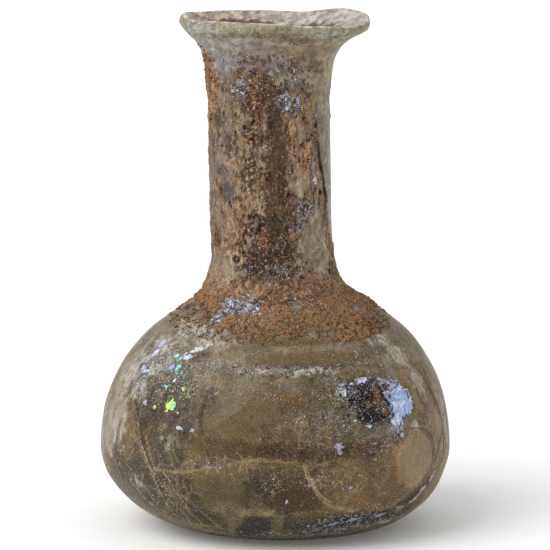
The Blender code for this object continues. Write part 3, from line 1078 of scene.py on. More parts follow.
    threads = (
        (-128, 12, 22, 18, -20), (-146, 20, 8, 12), (-38, 17, 16, 16), (-78, 23, 14, 7, -30),
        (-66, 14, 22, 10), (-24, 30, 10, 22), (-108, 18, 16, 5), (100, 20, 60, 24), (30, 16, 30, 20),
    )
    gritty = (
        (-71, 27, 18, 8), (-62, 31, 16, 5), (-84, 35.2, 34, 2.4), (-68, 33.0, 10, 2.4, -30),
        (-131, 32, 22, 9), (-142, 36, 14, 9), (-48, 36, 16, 5), (-50, 20.0, 9, 4), (-55, 4, 30, 4),
        (-90, 2.5, 40, 3), (-105, 36, 16, 2.4), (-96, 30, 12, 4), (-72, 15, 14, 5), (-92, 14, 8, 4),
        (100, 25, 60, 20),
    )
    frosty = (
        (-168, 18, 16, 22), (-160, 32, 12, 16), (-152, 22, 8, 14), (-134, 41, 20, 5, 8),
        (-146, 38, 12, 6), (-142, 34.5, 10, 5, 30), (-147, 30, 6, 8), (-152, 42, 11, 4),
        (-124, 39.5, 14, 4), (-32, 36, 10, 8, 20), (-28, 31, 6, 10), (-38, 39, 10, 4), (-14, 22, 8, 20),
        (-84, 35, 30, 2.4), (-46, 23.5, 6, 3), (-36.5, 23, 4, 4), (-152, 5.0, 8, 2.4, -20),
        (-141, 12, 5, 5), (-128, 21, 5, 5), (-55, 4, 30, 3), (-115, 45, 9, 5, 20), (60, 25, 70, 24),
        (130, 20, 60, 20),
    )

    def execute(self, context):
        wall = form()
        skin = Skin()
        skin.ring(5.0 * MM, wall.outside(50.0 * MM), 0.42 * MM, 2.2 * MM)
        paint = Paint(skin, tuple(colours().patina))
        for tint, strength, marks in self.facets + self.sides + self.lower:
            paint.spots(tint, marks, strength, 0.20, 0.55, 2.6)
        band = paint.stroke(
            tone(84, 58, 26), 0.9, 0.45, 4.6, (-104, 20.6), (-96, 21.2), (-80, 20.6), (-57, 20.4),
        )
        paint.stroke(tone(58, 40, 20), 0.8, 0.5, 2.2, (-96, 21.0), (-82, 20.0), (-66, 20.6))
        paint.stroke(tone(70, 58, 30), 0.85, 0.3, 1.2, (-117, 31.0), (-117, 27.0), (-115, 23.4))
        paint.stroke(tone(56, 42, 22), 0.85, 0.4, 1.0, (-124, 20.6), (-121, 17.4))
        paint.spots(tone(44, 38, 28), ((-97, 14.8, 4.6, 3.0), (-91, 13.8, 4, 2.4)), 0.9, 0.4, 0.5, 1.2)
        for tint, strength, *corners in self.panes:
            paint.facet(tint, strength, *corners)
        for tint, strength, marks in self.washes:
            paint.spots(tint, marks, strength, 0.5, 0.6, 1.6)
        for strength, width, points in self.lines:
            paint.stroke(tone(170, 146, 104), strength, 0.35, width * 1.2, *points)
        paint.stroke(
            tone(40, 32, 26), 0.85, 0.3, 0.45, (-146, 28.0), (-141, 21.9), (-139, 20.2), (-133, 15.9),
            (-127, 12),
        )
        lens = paint.oval(-38.0, 16.8, 13.0, 12.4, 15.0)
        rim = smooth_step(lens, -0.03, 0.04) * (1.0 - smooth_step(lens, 0.07, 0.15))
        paint.lay(tone(170, 150, 116), smooth_step(lens, 0.0, 0.10), 0.95)
        paint.lay(tone(158, 112, 60), rim * smooth_step(-paint.flat(-40.0, 20.0)[0], -3.5, 0.0), 1.0)
        paint.lay(tone(104, 78, 44), rim * smooth_step(paint.flat(-38.0, 20.0)[0], -1.0, 3.0), 0.7)
        paint.spots(
            tone(38, 30, 22), ((-94.5, 14.0, 3.6, 2.8, 20), (-92.4, 12.6, 2.0, 1.4)), 0.9, 0.3, 0.5, 0.8,
        )
        paint.spots(
            tone(190, 188, 188), ((-37.4, 23.4, 2.2, 3.0), (-150, 4.6, 5.0, 1.4, -20)), 0.85, 0.4, 0.5, 0.8,
        )
        paint.spots(
            tone(158, 96, 48), ((-163, 13.4, 3, 4.6, 20), (-30, 10.5, 5, 2.5, 30), (-27, 34, 3, 1.4)), 0.8,
        )
        # The oval at -124 degrees is a painted shadow under the pale dash flake.
        paint.spots(
            tone(84, 58, 38), ((-157, 36.8, 3.6, 3.6), (-124.0, 37.3, 4.6, 1.8, 28), (-28, 10.8, 3, 3)),
            0.95,
        )
        # The oval at -123.2 degrees is a painted shadow under the dash flake.
        paint.spots(tone(22, 18, 16), (
            (-148, 29.3, 0.9, 2.0, -35), (-152, 36.0, 0.6, 1.6, -30), (-123.2, 37.35, 3.2, 0.8, 28),
            (-28.5, 11.2, 0.8, 1.8), (-77, 33.6, 1.4, 0.8), (-61, 33.4, 1.2, 1.0), (-32, 44, 1.6, 1.2),
            (-59, 41, 1.8, 0.9), (-121, 23.5, 1.0, 0.8),
        ), 0.95, 0.3, 0.3, 0.8)
        sandy = paint.spots(tone(128, 96, 64), ((-90, 46, 70, 12), (90, 46, 80, 12)), 0.85, 0.6, 0.7, 1.0)
        calm = paint.ragged(paint.ovals(self.calm), 0.3, 0.3, 2.0)
        thread = paint.ragged(paint.ovals(self.threads), 0.6, 0.5, 2.4)
        heights = wall.at(wall.height, skin.along) / MM
        upper = smooth_step(heights + 6.0 * noise_at(paint.places, 3.0, 31, 3), 27.0, 40.0)
        paint.lay(tone(156, 149, 138), upper * (1.0 - calm), 0.36)
        grit = 0.10 + 0.80 * paint.ragged(paint.ovals(self.gritty), 0.8, 0.9, 1.4) * (1.0 - 0.8 * calm)
        frost = 0.05 + 0.85 * paint.ragged(paint.ovals(self.frosty), 0.8, 0.6, 2.4)
        cover = np.clip(0.62 + 0.25 * sandy + 0.2 * grit + 0.1 * band + 0.2 * frost, 0.0, 1.0)
        cover -= 0.25 * paint.ragged(paint.ovals(self.thin), 0.5)
        relief = noise_at(paint.places, 0.9, 30, 3)
        dip = 0.3 * smooth_step(heights, 47.0, 50.0)
        skin.settle(((relief - 1.0) * 0.02 - 0.05 - dip) * MM, -0.40 * MM)
        frost = (frost + 0.18 * upper) * (1.0 - 0.7 * calm)
        marks = {"grit": grit, "cover": cover, "frost": frost, "calm": calm, "thread": thread}
        piece = skin.finish("body_patina", body_patina(), paint.colour, marks)
        return {"FINISHED"}


class FLASK_OT_neck_crust(Operator):
    """Builds the wrinkled crust on the outside of the neck"""
    bl_idname = "flask.neck_crust"
    bl_label = "Neck crust"

    # Coats and glassy: tint, strength and ovals
    coats = (
        (tone(152, 114, 80), 0.9, ((-156, 86, 7, 16), (170, 75, 10, 30), (60, 64, 16, 20))),
        (
            tone(122, 109, 97), 0.85,
            ((-140, 74, 7, 22), (-148, 62, 8, 16), (-162, 66, 8, 24), (110, 80, 20, 24)),
        ),
        (tone(84, 64, 46), 0.8, ((-132, 76, 4, 8), (-146, 81, 2.6, 5), (-122, 82, 4, 7), (-120, 70, 3, 6))),
        (
            tone(146, 120, 90), 0.9,
            ((-117, 74, 6, 22), (-125, 60, 8, 12), (-108, 66, 6, 12), (-62, 79, 7, 9)),
        ),
        (tone(118, 80, 42), 0.95, ((-103, 87, 7, 12), (-97, 84, 4, 8), (-110, 93, 8, 5), (-88, 93, 6, 3))),
        (tone(134, 112, 84), 0.9, ((-60, 85, 9, 17), (-54, 80, 6, 12), (-72, 92, 10, 5), (-66, 72, 4, 8))),
        (tone(104, 84, 68), 0.8, ((-126, 87, 8, 7),)),
        # The row below is the dark band down the front of the neck: painted shade in a shallow recess of
        # the crust, deepened by the stroke and the band further on.
        (tone(70, 54, 32), 0.95, ((-84, 72, 4.6, 26), (-79, 85.5, 4, 6), (-83, 60, 5, 12))),
        (
            tone(62, 46, 33), 0.95,
            ((-88, 54, 12, 10), (-76, 52, 8, 6), (-92, 62, 3, 5), (-104, 53.5, 12, 9), (-98, 61, 5, 6)),
        ),
        (
            tone(110, 66, 36), 0.85,
            ((-91, 66, 2.2, 10), (-94, 58, 3, 5), (-84, 55, 4, 2.4), (-93, 70, 2, 5)),
        ),
        (tone(160, 134, 108), 0.95, ((-146, 53, 7, 7), (-134, 51, 5, 4))),
        (tone(116, 110, 110), 0.7, ((-118, 87, 5, 6), (-76, 89, 9, 5), (-90, 51, 12, 4), (-70, 84, 5, 6))),
        (tone(150, 106, 68), 0.9, ((-56, 74, 2.6, 5), (-60, 71, 2, 4), (-66, 78, 4, 2))),
    )
    glassy = (
        (tone(160, 144, 120), 0.95, ((-50, 57, 9, 11), (-38, 54, 7, 9), (-44, 62, 5, 5))),
        (tone(150, 131, 98), 0.95, ((-62, 69.0, 4.4, 7.5),)),
        (tone(98, 93, 88), 0.95, ((-134, 67, 3.6, 5.0, 25),)),
        (tone(160, 138, 112), 0.95, ((-145, 52, 8, 6), (-132, 50.5, 6, 4), (-150, 62, 3, 5))),
        (tone(152, 144, 148), 0.9, ((-42, 64.5, 1.3, 3.2), (-45, 71, 1.3, 4.0))),
    )
    # Hollows in the crust: painted nearly black as their shade, and sunk in the relief.
    shaded_hollows = (
        (-144, 67, 1.6, 2.2, 20), (-131, 64.4, 0.8, 1.9, 25), (-106, 62.3, 2.4, 1.4, 30),
        (-154, 57.3, 3.4, 4.2), (-126, 54, 1.9, 1.6), (-146, 78, 0.8, 2.6), (-138, 82, 0.7, 1.8),
        (-116, 57.5, 1.0, 1.6, 20), (-140, 75.6, 0.6, 1.6), (-108, 57, 0.8, 1.4), (60, 70, 2.0, 3.0),
        (130, 60, 1.4, 2.4),
    )

    def execute(self, context):
        wall = form()
        skin = Skin()
        skin.ring(wall.outside(45.0 * MM), wall.outside(91.0 * MM), 0.26 * MM, 1.6 * MM, 64, 4)
        paint = Paint(skin, tuple(colours().crust))
        places = paint.places
        bark = noise_at(places, (1.0, 1.0, 2.6), 9, 4)
        wrinkle = noise_at(places, (0.5, 0.5, 1.0), 10, 3)
        for tint, strength, marks in self.coats:
            paint.spots(tint, marks, strength, 0.5, 0.9, 1.3)
        # Painted shade down the recessed band at -84 degrees.
        paint.stroke(tone(68, 54, 34), 0.8, 0.5, 3.6, (-84, 84), (-83, 76), (-84, 68), (-86, 57))
        # Painted shade in the low gaps of the bark relief and painted light on its raised tops; the same
        # noises lift the crust below.
        shaded_gap = smooth_step(-(bark * 0.6 + wrinkle * 0.7), 0.10, 0.55)
        paint.lay(tone(60, 40, 26), shaded_gap, 0.62)
        paint.lay(tone(176, 150, 122), smooth_step(bark * 0.5 + wrinkle * 0.7, 0.25, 0.7), 0.35)
        sandy = paint.spots(tone(150, 110, 70), ((-90, 46, 60, 9), (90, 46, 60, 10)), 0.9, 0.6, 0.7, 1.0)
        paint.spots(tone(54, 38, 24), ((-98, 51.4, 15, 4.6), (-86, 55.0, 9, 5)), 0.75, 0.5, 0.7, 1.2)
        smooth = np.zeros(len(places))
        for tint, strength, marks in self.glassy:
            smooth = np.maximum(smooth, paint.spots(tint, marks, strength, 0.4, 0.5, 1.2) * 0.85)
        # Painted shade in the same band, which the relief below sinks a little.
        band = paint.ragged(paint.line(4.2, (-84, 86), (-83, 76), (-84, 68), (-86, 60)), 0.6, 0.5, 1.2)
        paint.lay(tone(66, 53, 33), band, 0.70)
        heights = wall.at(wall.height, skin.along) / MM
        edge = np.interp(
            heights, (50.0, 58.0, 67.0, 73.0, 84.6, 91.0), (-14.0, -18.0, -26.0, -34.0, -40.0, -44.0),
        )
        past = (np.degrees(skin.azimuth) - edge + 180.0) % 360.0 - 180.0
        past += noise_at(places, 1.2, 15, 3) * 2.0
        strip = smooth_step(past, -0.6, 0.6) * (1.0 - smooth_step(past, 44.0, 47.0))
        strip *= smooth_step(heights, 54.0, 58.0)
        strip *= 1.0 - smooth_step(heights, 85.0, 89.0)
        crack = np.exp(-((past + 2.4) / 2.8) ** 2) * smooth_step(heights, 60.0, 63.0)
        crack *= (1.0 - smooth_step(heights, 75.0, 79.0)) * smooth_step(wrinkle + 0.3 * bark, -0.8, -0.3)
        join = smooth_step(past, -8.0, 2.0) * (1.0 - smooth_step(past, 44.0, 50.0))
        join *= smooth_step(heights, 80.0, 86.0)
        paint.lay(tone(154, 147, 132), strip, 0.95)
        paint.lay(tone(152, 140, 114), join, 0.9)
        paint.lay(tone(30, 20, 14), crack, 0.95)
        grains = paint.ragged(paint.ovals((
            (-109, 70.5, 5, 10), (-104, 78, 5, 6), (-110, 60, 5, 4), (-103, 87, 7, 11), (-70, 64, 4, 10),
        )), 0.5, 0.4)
        near, second = cells_at(places, 0.75, 3)
        froth = paint.ragged(paint.ovals(((-58, 63.6, 6.4, 4.6, 20), (-66, 60.5, 4, 3.5))), 0.4, 0.3)
        net = 1.0 - smooth_step(second - near, 0.05, 0.22)
        paint.lay(tone(52, 42, 38), froth * (1.0 - net), 0.9)
        paint.lay(tone(196, 184, 186), froth * net, 0.95)
        pebble = smooth_step(0.75 - near, 0.2, 0.6)
        paint.lay(tone(212, 184, 146), grains * pebble * (skin.azimuth < math.radians(-102.0)), 0.75)
        # Painted shade between the raised pebbles, where the relief below is low.
        paint.lay(tone(58, 34, 18), grains * (1.0 - pebble), 0.75)
        # Painted shade in the hollows of the crust.
        shaded_hollow = paint.ragged(paint.ovals(self.shaded_hollows), 0.45, 0.25, 0.8)
        paint.lay(tone(40, 22, 12), shaded_hollow, 0.95)
        paint.spots(
            tone(98, 54, 34), ((-156, 57.0, 1.8, 3.4), (-150, 68.6, 1.2, 1.6), (-143, 68, 1.0, 1.2)), 0.9,
        )
        paint.spots(tone(146, 106, 70), ((-70, 58.6, 1.8, 2.0), (-64, 62.0, 1.2, 2.0)), 0.6)
        ring = paint.oval(-126, 54, 3.6, 3.2)
        paint.lay(
            tone(190, 160, 124), smooth_step(ring, 0.0, 0.2) * (1.0 - smooth_step(ring, 0.35, 0.5)), 0.45,
        )
        clear = smooth * (skin.azimuth > math.radians(-100.0))
        veins = smooth_step(noise_at(places, (0.8, 0.8, 2.0), 16, 4), 0.05, 0.45) * clear
        paint.lay(tone(194, 184, 166), veins, 0.75)
        shades = smooth_step(noise_at(places, (1.3, 1.3, 2.2), 24, 4), 0.1, 0.5) * clear
        paint.lay(tone(112, 94, 68), shades, 0.6)
        smooth = np.maximum(np.maximum(smooth, strip), join)
        rough = np.clip(1.0 - smooth - 0.5 * froth - 0.45 * band, 0.0, 1.0)
        rough *= 1.0 - 0.40 * smooth_step(-np.degrees(skin.azimuth), 116.0, 134.0)
        body = 0.20 + 0.18 * bark + 0.12 * wrinkle + 0.10 * noise_at(places, 3.5, 12, 2) - 0.12 * band
        body += grains * (pebble - 0.4) * 0.30 + froth * (net - 0.4) * 0.25
        top = np.where(smooth > 0.5, 0.06, body) * (1.0 - shaded_hollow) - 0.06 * shaded_hollow
        top = 0.06 * smooth + top * (1.0 - smooth) - 0.10 * crack
        dip = 0.5 * smooth_step(heights, 87.0, 91.0) + 0.5 * smooth_step(heights, 48.0, 45.0) + 0.10 * join
        skin.settle((top.clip(-0.08, 0.6) - dip) * MM, -0.45 * MM)
        cover = 1.0 - 0.40 * strip - 0.25 * (smooth - strip)
        marks = {"rough": rough * (1.0 - 0.3 * sandy), "cover": cover}
        piece = skin.finish("neck_crust", neck_crust(), paint.colour, marks)
        return {"FINISHED"}


class FLASK_OT_rim_patina(Operator):
    """Builds the frosted film on the flare, over the lip and inside the mouth"""
    bl_idname = "flask.rim_patina"
    bl_label = "Rim patina"

    def execute(self, context):
        wall = form()
        skin = Skin()
        skin.ring(wall.outside(85.0 * MM), wall.inside(86.0 * MM), 0.30 * MM, 1.2 * MM, 64, 4)
        paint = Paint(skin, tuple(colours().rim))
        lip = wall.outside(wall.lip_height - 1.6 * MM)
        past = (skin.along - lip) / MM
        inner = smooth_step(past, 2.3, 3.0)
        paint.spots(tone(136, 94, 58), ((-155, 89, 8, 6), (-104, 90.5, 14, 6), (-86, 91, 8, 4)), 0.85)
        paint.spots(tone(106, 88, 72), ((-126, 88.4, 9, 6), (-136, 86, 6, 4)), 0.75, 0.5, 0.8)
        paint.spots(tone(136, 108, 72), ((-36, 91, 6, 4), (-30, 88, 5, 4)), 0.45, 0.5, 0.9)
        paint.spots(
            tone(130, 112, 72), ((-66, 92, 12, 5), (-50, 95, 14, 5), (-70, 97, 10, 3), (-62, 98, 20, 2)),
            0.7,
        )
        paint.spots(
            tone(164, 161, 156), ((-150, 95, 12, 6), (-120, 96, 12, 5), (-128, 93, 9, 6), (-142, 91, 8, 4)),
            0.7, 0.4, 0.9,
        )
        paint.spots(
            tone(136, 134, 142), ((-112, 92, 12, 4), (-138, 92, 8, 6), (-84, 92, 8, 4), (-100, 95, 10, 3)),
            0.5,
        )
        right = smooth_step(np.cos(skin.azimuth), -0.25, 0.25)
        soft = noise_at(paint.places, 1.4, 17, 3)
        spread = noise_at(paint.places, (2.5, 2.5, 0.8), 19, 4)
        paint.lay(tone(208, 190, 174), inner * (1.0 - right), 0.95)
        paint.lay(tone(184, 177, 172), inner * right, 0.95)
        paint.lay(tone(120, 92, 72), inner * smooth_step(spread, 0.15, 0.45) * (1.0 - 0.35 * right), 0.75)
        deep = smooth_step(past, 4.4 + 1.4 * right, 6.4 + 1.4 * right)
        paint.lay(tone(84, 54, 36), smooth_step(deep + soft * 0.6, 0.35, 0.8), 0.9)
        paint.lay(
            tone(148, 139, 112), smooth_step(past, -2.2, -0.6) * (1.0 - smooth_step(past, 1.2, 2.0)), 0.85,
        )
        paint.lay(
            tone(112, 106, 76), smooth_step(past, -2.4, -1.4) * (1.0 - smooth_step(past, -1.0, 0.2)), 0.5,
        )
        crest = smooth_step(past + soft * 0.3, 1.7, 2.0) * (1.0 - smooth_step(past + soft * 0.3, 2.3, 2.7))
        paint.lay(tone(226, 222, 212), crest * smooth_step(soft, -0.6, 0.0), 0.9)
        left_lip = paint.ragged(paint.ovals(((-142, 98.2, 12, 4.2), (-56, 98.2, 8, 2.4))), 0.6, 0.9, 0.8)
        paint.lay(tone(190, 188, 180), left_lip * (1.0 - smooth_step(past, 1.4, 2.0)), 0.5)
        paint.spots(
            tone(98, 70, 44), ((-68, 91.0, 2.6, 1.2), (-44, 92.5, 4.0, 1.6), (-38, 90.5, 3.0, 1.2)), 0.75,
            0.4, 0.8,
        )
        paint.spots(tone(24, 18, 14), ((-52, 90.8, 0.7, 0.7), (-30, 93.0, 1.2, 0.6)), 0.95, 0.3, 0.2, 0.6)
        frosted = paint.ragged(paint.ovals(((-115, 93, 20, 7), (-80, 91, 12, 6))), 0.6, 0.9)
        grit = 0.20 + 0.4 * left_lip + 0.6 * frosted
        cover = 0.85 + 0.1 * inner
        dip = 0.25 * smooth_step(wall.at(wall.height, skin.along), 88.0 * MM, 85.0 * MM)
        relief = noise_at(paint.places, 1.2, 18, 3)
        top = np.where(past > 0.6, -0.06, 0.04) + 0.04 * relief - dip
        skin.settle(top.clip(-0.3, 0.12) * MM, -0.35 * MM)
        piece = skin.finish(
            "rim_patina", rim_patina(), paint.colour, {"grit": grit.clip(0.0, 1.0), "cover": cover},
        )
        return {"FINISHED"}


class FLASK_OT_shoulder_soil(Operator):
    """Builds the sandy crust on the shoulder and the neck"""
    bl_idname = "flask.shoulder_soil"
    bl_label = "Shoulder soil"

    soil_marks = (
        (-90, 45, 58, 8.4), (-118, 42.6, 10, 5, 12), (-100, 42, 16, 5), (-55, 43, 20, 8, -8),
        (-52, 40.6, 14, 5), (172, 44, 34, 8), (0, 46, 30, 8), (80, 45, 60, 9), (-80, 48.6, 22, 5.4),
        (-48, 48.5, 14, 7), (-150, 48, 14, 6), (-156, 88, 5, 14), (-101, 87, 4.5, 8), (120, 88, 12, 12),
    )
    bare_marks = (
        (-118, 46, 9, 5.5, 20), (-128, 43.5, 4, 4), (-142, 50, 6, 8), (-79, 46, 2, 3), (-32, 44, 3, 3),
        (-150, 42, 14, 4.5), (-130, 39.8, 16, 2.6, 6), (-172, 43.4, 14, 5.4),
    )

    def execute(self, context):
        wall = form()
        skin = Skin()
        ways = section_way(wall.outside(36.0 * MM), wall.outside(96.0 * MM), 1.4 * MM)
        skin.spin([(along, 1.0) for along in ways], 80, 4)
        paint = Paint(skin, tuple(colours().soil))
        loose = noise_at(paint.places, 0.9, 20, 3)
        cover = paint.ovals(self.soil_marks).clip(-1.0, 0.5) * 1.1 + 0.95 * loose - 0.08
        cover = np.minimum(cover, -1.2 * paint.ovals(self.bare_marks) + 0.8 * loose)
        cover = skin.keep(cover)
        paint = Paint(skin, tuple(colours().soil))
        grains = noise_at(paint.places, 0.48, 22, 3)
        swell = smooth_step(cover, 0.0, 0.5)
        # Painted shade where the grain relief is low and painted light where it is high; the same noise
        # lifts the crust below.
        paint.lay(tone(60, 42, 28), smooth_step(-grains, 0.1, 0.5), 0.65)
        paint.lay(tone(184, 146, 104), smooth_step(grains, 0.2, 0.6), 0.45)
        paint.spots(
            tone(82, 58, 36), ((-104, 49.4, 14, 4), (-86, 50.6, 12, 3), (-106, 46.6, 7, 3)), 0.7, 0.5, 0.7,
            1.2,
        )
        top = (0.05 + 0.40 * swell + 0.75 * grains * (0.3 + swell)).clip(0.02, 1.4) * sizes().soil_thickness
        skin.settle(top, CRUST_FOOT)
        piece = skin.finish("shoulder_soil", sandy_soil(), paint.colour)
        return {"FINISHED"}


# Tints of the chips and grains that are scattered
FROST = (
    tone(150, 146, 140), tone(128, 122, 112), tone(170, 167, 172), tone(196, 194, 196), tone(138, 134, 144),
)
BLUE = (
    tone(200, 204, 238), tone(226, 228, 246), tone(184, 200, 228), tone(170, 166, 196), tone(134, 132, 146),
)
SEA = (
    tone(176, 218, 210), tone(140, 200, 204), tone(206, 232, 218), tone(146, 168, 212), tone(160, 168, 166),
)
LIME = (
    tone(180, 230, 90), tone(120, 220, 130), tone(220, 236, 150), tone(230, 160, 80), tone(130, 140, 110),
)
NIGHT = (tone(28, 24, 22), tone(52, 42, 34), tone(74, 58, 42))
SLATE = (tone(122, 132, 146), tone(96, 104, 114), tone(154, 162, 174), tone(70, 74, 72), tone(48, 46, 38))
WHITE = (tone(226, 226, 220), tone(206, 208, 204), tone(188, 186, 178))
SAND = (tone(164, 124, 84), tone(138, 102, 68), tone(106, 76, 50), tone(180, 146, 106), tone(70, 50, 34))


class FLASK_OT_iron_crust(Operator):
    """Builds the black and rusty scale on the right of the body"""
    bl_idname = "flask.iron_crust"
    bl_label = "Iron crust"

    def execute(self, context):
        skin = Skin(flat=True)
        skin.sheet(-57, 29 * MM, 14 * MM, 12 * MM, 0.16 * MM)
        skin.read()
        paint = Paint(skin, tone(34, 29, 28))
        marks = (
            (-60, 30.2, 6.4, 6.0), (-57, 26.6, 5.0, 4.4), (-53.5, 30.6, 5.0, 5.0),
            (-50.5, 27.5, 3.0, 5.0),
        )
        cover = paint.ovals(marks) + 0.75 * noise_at(paint.places, 1.1, 50, 4)
        cover = skin.keep(cover)
        paint = Paint(skin, tone(22, 18, 17))
        paint.spots(
            tone(136, 94, 60), ((-53.0, 30.2, 2.4, 6.0), (-57, 28.4, 1.4, 1.6), (-50.5, 27.5, 2.0, 4.0)),
            0.9,
        )
        paint.spots(
            tone(120, 116, 122), ((-56, 24.6, 6, 1.6), (-62, 31.5, 2, 3), (-52, 32.4, 5, 1.4)), 0.6, 0.4,
            1.2, 0.7,
        )
        lumps = noise_at(paint.places, 0.7, 51, 3)
        top = (0.04 + 0.22 * smooth_step(cover, 0.0, 0.5) * (1.0 + lumps) + 0.08 * lumps).clip(0.02, 0.5)
        skin.settle(top * MM, CRUST_FOOT)
        piece = skin.finish("iron_crust", iron_scale(), paint.colour)
        return {"FINISHED"}


class FLASK_OT_flakes(Operator):
    """Builds the larger flakes of shimmering scale"""
    bl_idname = "flask.flakes"
    bl_label = "Flakes"

    # Tint, thickness in millimetres and an oval
    flakes = (
        (tone(206, 208, 200), 0.32, (-125.8, 38.05, 5.2, 1.2, 30)),
        (tone(222, 220, 246), 0.32, (-129.2, 36.6, 2.1, 1.5, 20)),
        (tone(190, 192, 232), 0.14, (-149.4, 38.0, 1.5, 2.1, 20)),
        (tone(200, 200, 236), 0.14, (-149.0, 36.4, 1.7, 1.9, -30)),
        (tone(158, 166, 162), 0.12, (-152.6, 35.0, 5.6, 2.1, 35)),
        (tone(176, 184, 216), 0.10, (-150.5, 33.5, 2.0, 1.1, 25)),
        (tone(184, 202, 222), 0.10, (-147.6, 33.1, 2.6, 0.9, 15)),
        (tone(166, 220, 208), 0.08, (-135.4, 36.6, 1.4, 0.8, 30)),
        (tone(150, 214, 200), 0.08, (-132.6, 36.2, 1.8, 0.5, 45)),
        (tone(150, 168, 226), 0.08, (-134.6, 34.5, 1.3, 1.3, 0)),
        (tone(124, 216, 216), 0.08, (-131.4, 34.6, 1.1, 1.9, -30)),
        (tone(206, 240, 240), 0.08, (-130.2, 32.5, 0.8, 0.8, 0)),
        (tone(120, 206, 220), 0.08, (-133.4, 31.2, 0.9, 0.8, 0)),
        (tone(196, 232, 130), 0.08, (-125.0, 31.2, 0.7, 1.2, 10)),
        (tone(206, 248, 120), 0.10, (-128.6, 28.0, 2.2, 2.5, -25)),
        (tone(150, 240, 200), 0.11, (-127.4, 28.0, 0.9, 2.0, -10)),
        (tone(240, 196, 70), 0.11, (-129.6, 27.0, 0.9, 0.8, 0)),
        (tone(170, 222, 140), 0.08, (-135.4, 27.3, 0.7, 1.0, 0)),
        (tone(180, 176, 200), 0.08, (-140.6, 27.8, 1.1, 1.2, 30)),
        (tone(112, 116, 206), 0.08, (-121.0, 36.0, 1.2, 0.6, 20)),
        (tone(156, 146, 172), 0.12, (-69.2, 21.4, 2.1, 1.4, 0)),
        (tone(150, 140, 168), 0.12, (-69.0, 20.5, 1.0, 1.6, 0)),
        (tone(214, 226, 236), 0.12, (-63.0, 25.9, 0.8, 0.5, 0)),
        (tone(160, 160, 196), 0.10, (-65.2, 13.2, 0.9, 0.7, 0)),
        (tone(172, 170, 204), 0.12, (-86.2, 11.0, 0.8, 0.8, 0)),
        (tone(200, 202, 236), 0.20, (-57.0, 32.9, 3.4, 1.2, 8)),
        (tone(206, 208, 244), 0.24, (-62.2, 31.8, 1.3, 2.6, 10)),
        (tone(208, 208, 220), 0.20, (-65.6, 31.0, 1.5, 1.2, -10)),
        (tone(190, 214, 222), 0.20, (-58.0, 24.7, 1.6, 0.9, -20)),
        (tone(196, 190, 190), 0.25, (-26.6, 12.2, 0.7, 2.8, -30)),
        (tone(176, 166, 158), 0.25, (-31.0, 10.2, 1.0, 2.4, -50)),
        (tone(166, 150, 138), 0.18, (-34.0, 8.6, 3.0, 1.1, 35)),
        (tone(158, 146, 136), 0.16, (-41.0, 7.2, 2.6, 0.9, 22)),
        (tone(146, 146, 148), 0.14, (-50.0, 6.4, 2.4, 0.9, 12)),
        (tone(126, 136, 150), 0.12, (-62.0, 6.2, 2.8, 1.0, 8)),
        (tone(132, 138, 144), 0.12, (-69.0, 5.6, 2.4, 0.8, 20)),
        (tone(190, 176, 172), 0.30, (-88.5, 90.3, 1.1, 1.1, 0)),
        (tone(206, 206, 214), 0.34, (-44.0, 69.2, 1.0, 1.6, 0)),
        (tone(168, 164, 178), 0.12, (-118.0, 24.0, 1.4, 0.8, 20)),
        (tone(180, 190, 206), 0.10, (-123.0, 24.2, 1.6, 0.9, 0)),
    )
    patch = ((-42.6, 28.2, 7.2, 6.8), (-46.0, 25.0, 3.4, 2.4), (-48.5, 30.0, 1.8, 1.4))

    def execute(self, context):
        skin = Skin(flat=True)
        for owner, (tint, thickness, (azimuth, height, width, tall, turn)) in enumerate(self.flakes):
            reach = max(width, tall) * 1.5 * MM
            skin.sheet(azimuth, height * MM, reach, reach, 0.11 * MM, owner)
        blue = len(self.flakes)
        skin.sheet(-44, 28 * MM, 11 * MM, 11 * MM, 0.14 * MM, blue)
        skin.read()
        paint = Paint(skin, tone(170, 188, 224))
        ragged = noise_at(paint.places, 0.6, 60, 3)
        cover = paint.ovals(self.patch) * 1.6 + 0.75 * ragged
        for owner, (tint, thickness, mark) in enumerate(self.flakes):
            cover = np.where(skin.owner == owner, paint.oval(*mark) + 0.60 * ragged, cover)
        cover = skin.keep(cover)
        paint = Paint(skin, tone(168, 190, 240))
        grain = noise_at(paint.places, 0.5, 61, 3)
        top = (0.07 + 0.05 * grain) * smooth_step(cover, -0.2, 0.4)
        paint.lay(tone(228, 234, 248), smooth_step(noise_at(paint.places, 1.6, 63, 3), 0.0, 0.5), 0.8)
        paint.lay(tone(112, 124, 158), smooth_step(noise_at(paint.places, 0.6, 62, 3), 0.25, 0.5), 0.5)
        for owner, (tint, thickness, mark) in enumerate(self.flakes):
            mine = skin.owner == owner
            top = np.where(mine, thickness * (0.75 + 0.25 * grain), top)
            paint.lay(tint, mine.astype(float))
        skin.settle(np.minimum(top, skin.room()) * MM, CRUST_FOOT)
        piece = skin.finish("flakes", scale_flakes(), paint.colour)
        return {"FINISHED"}


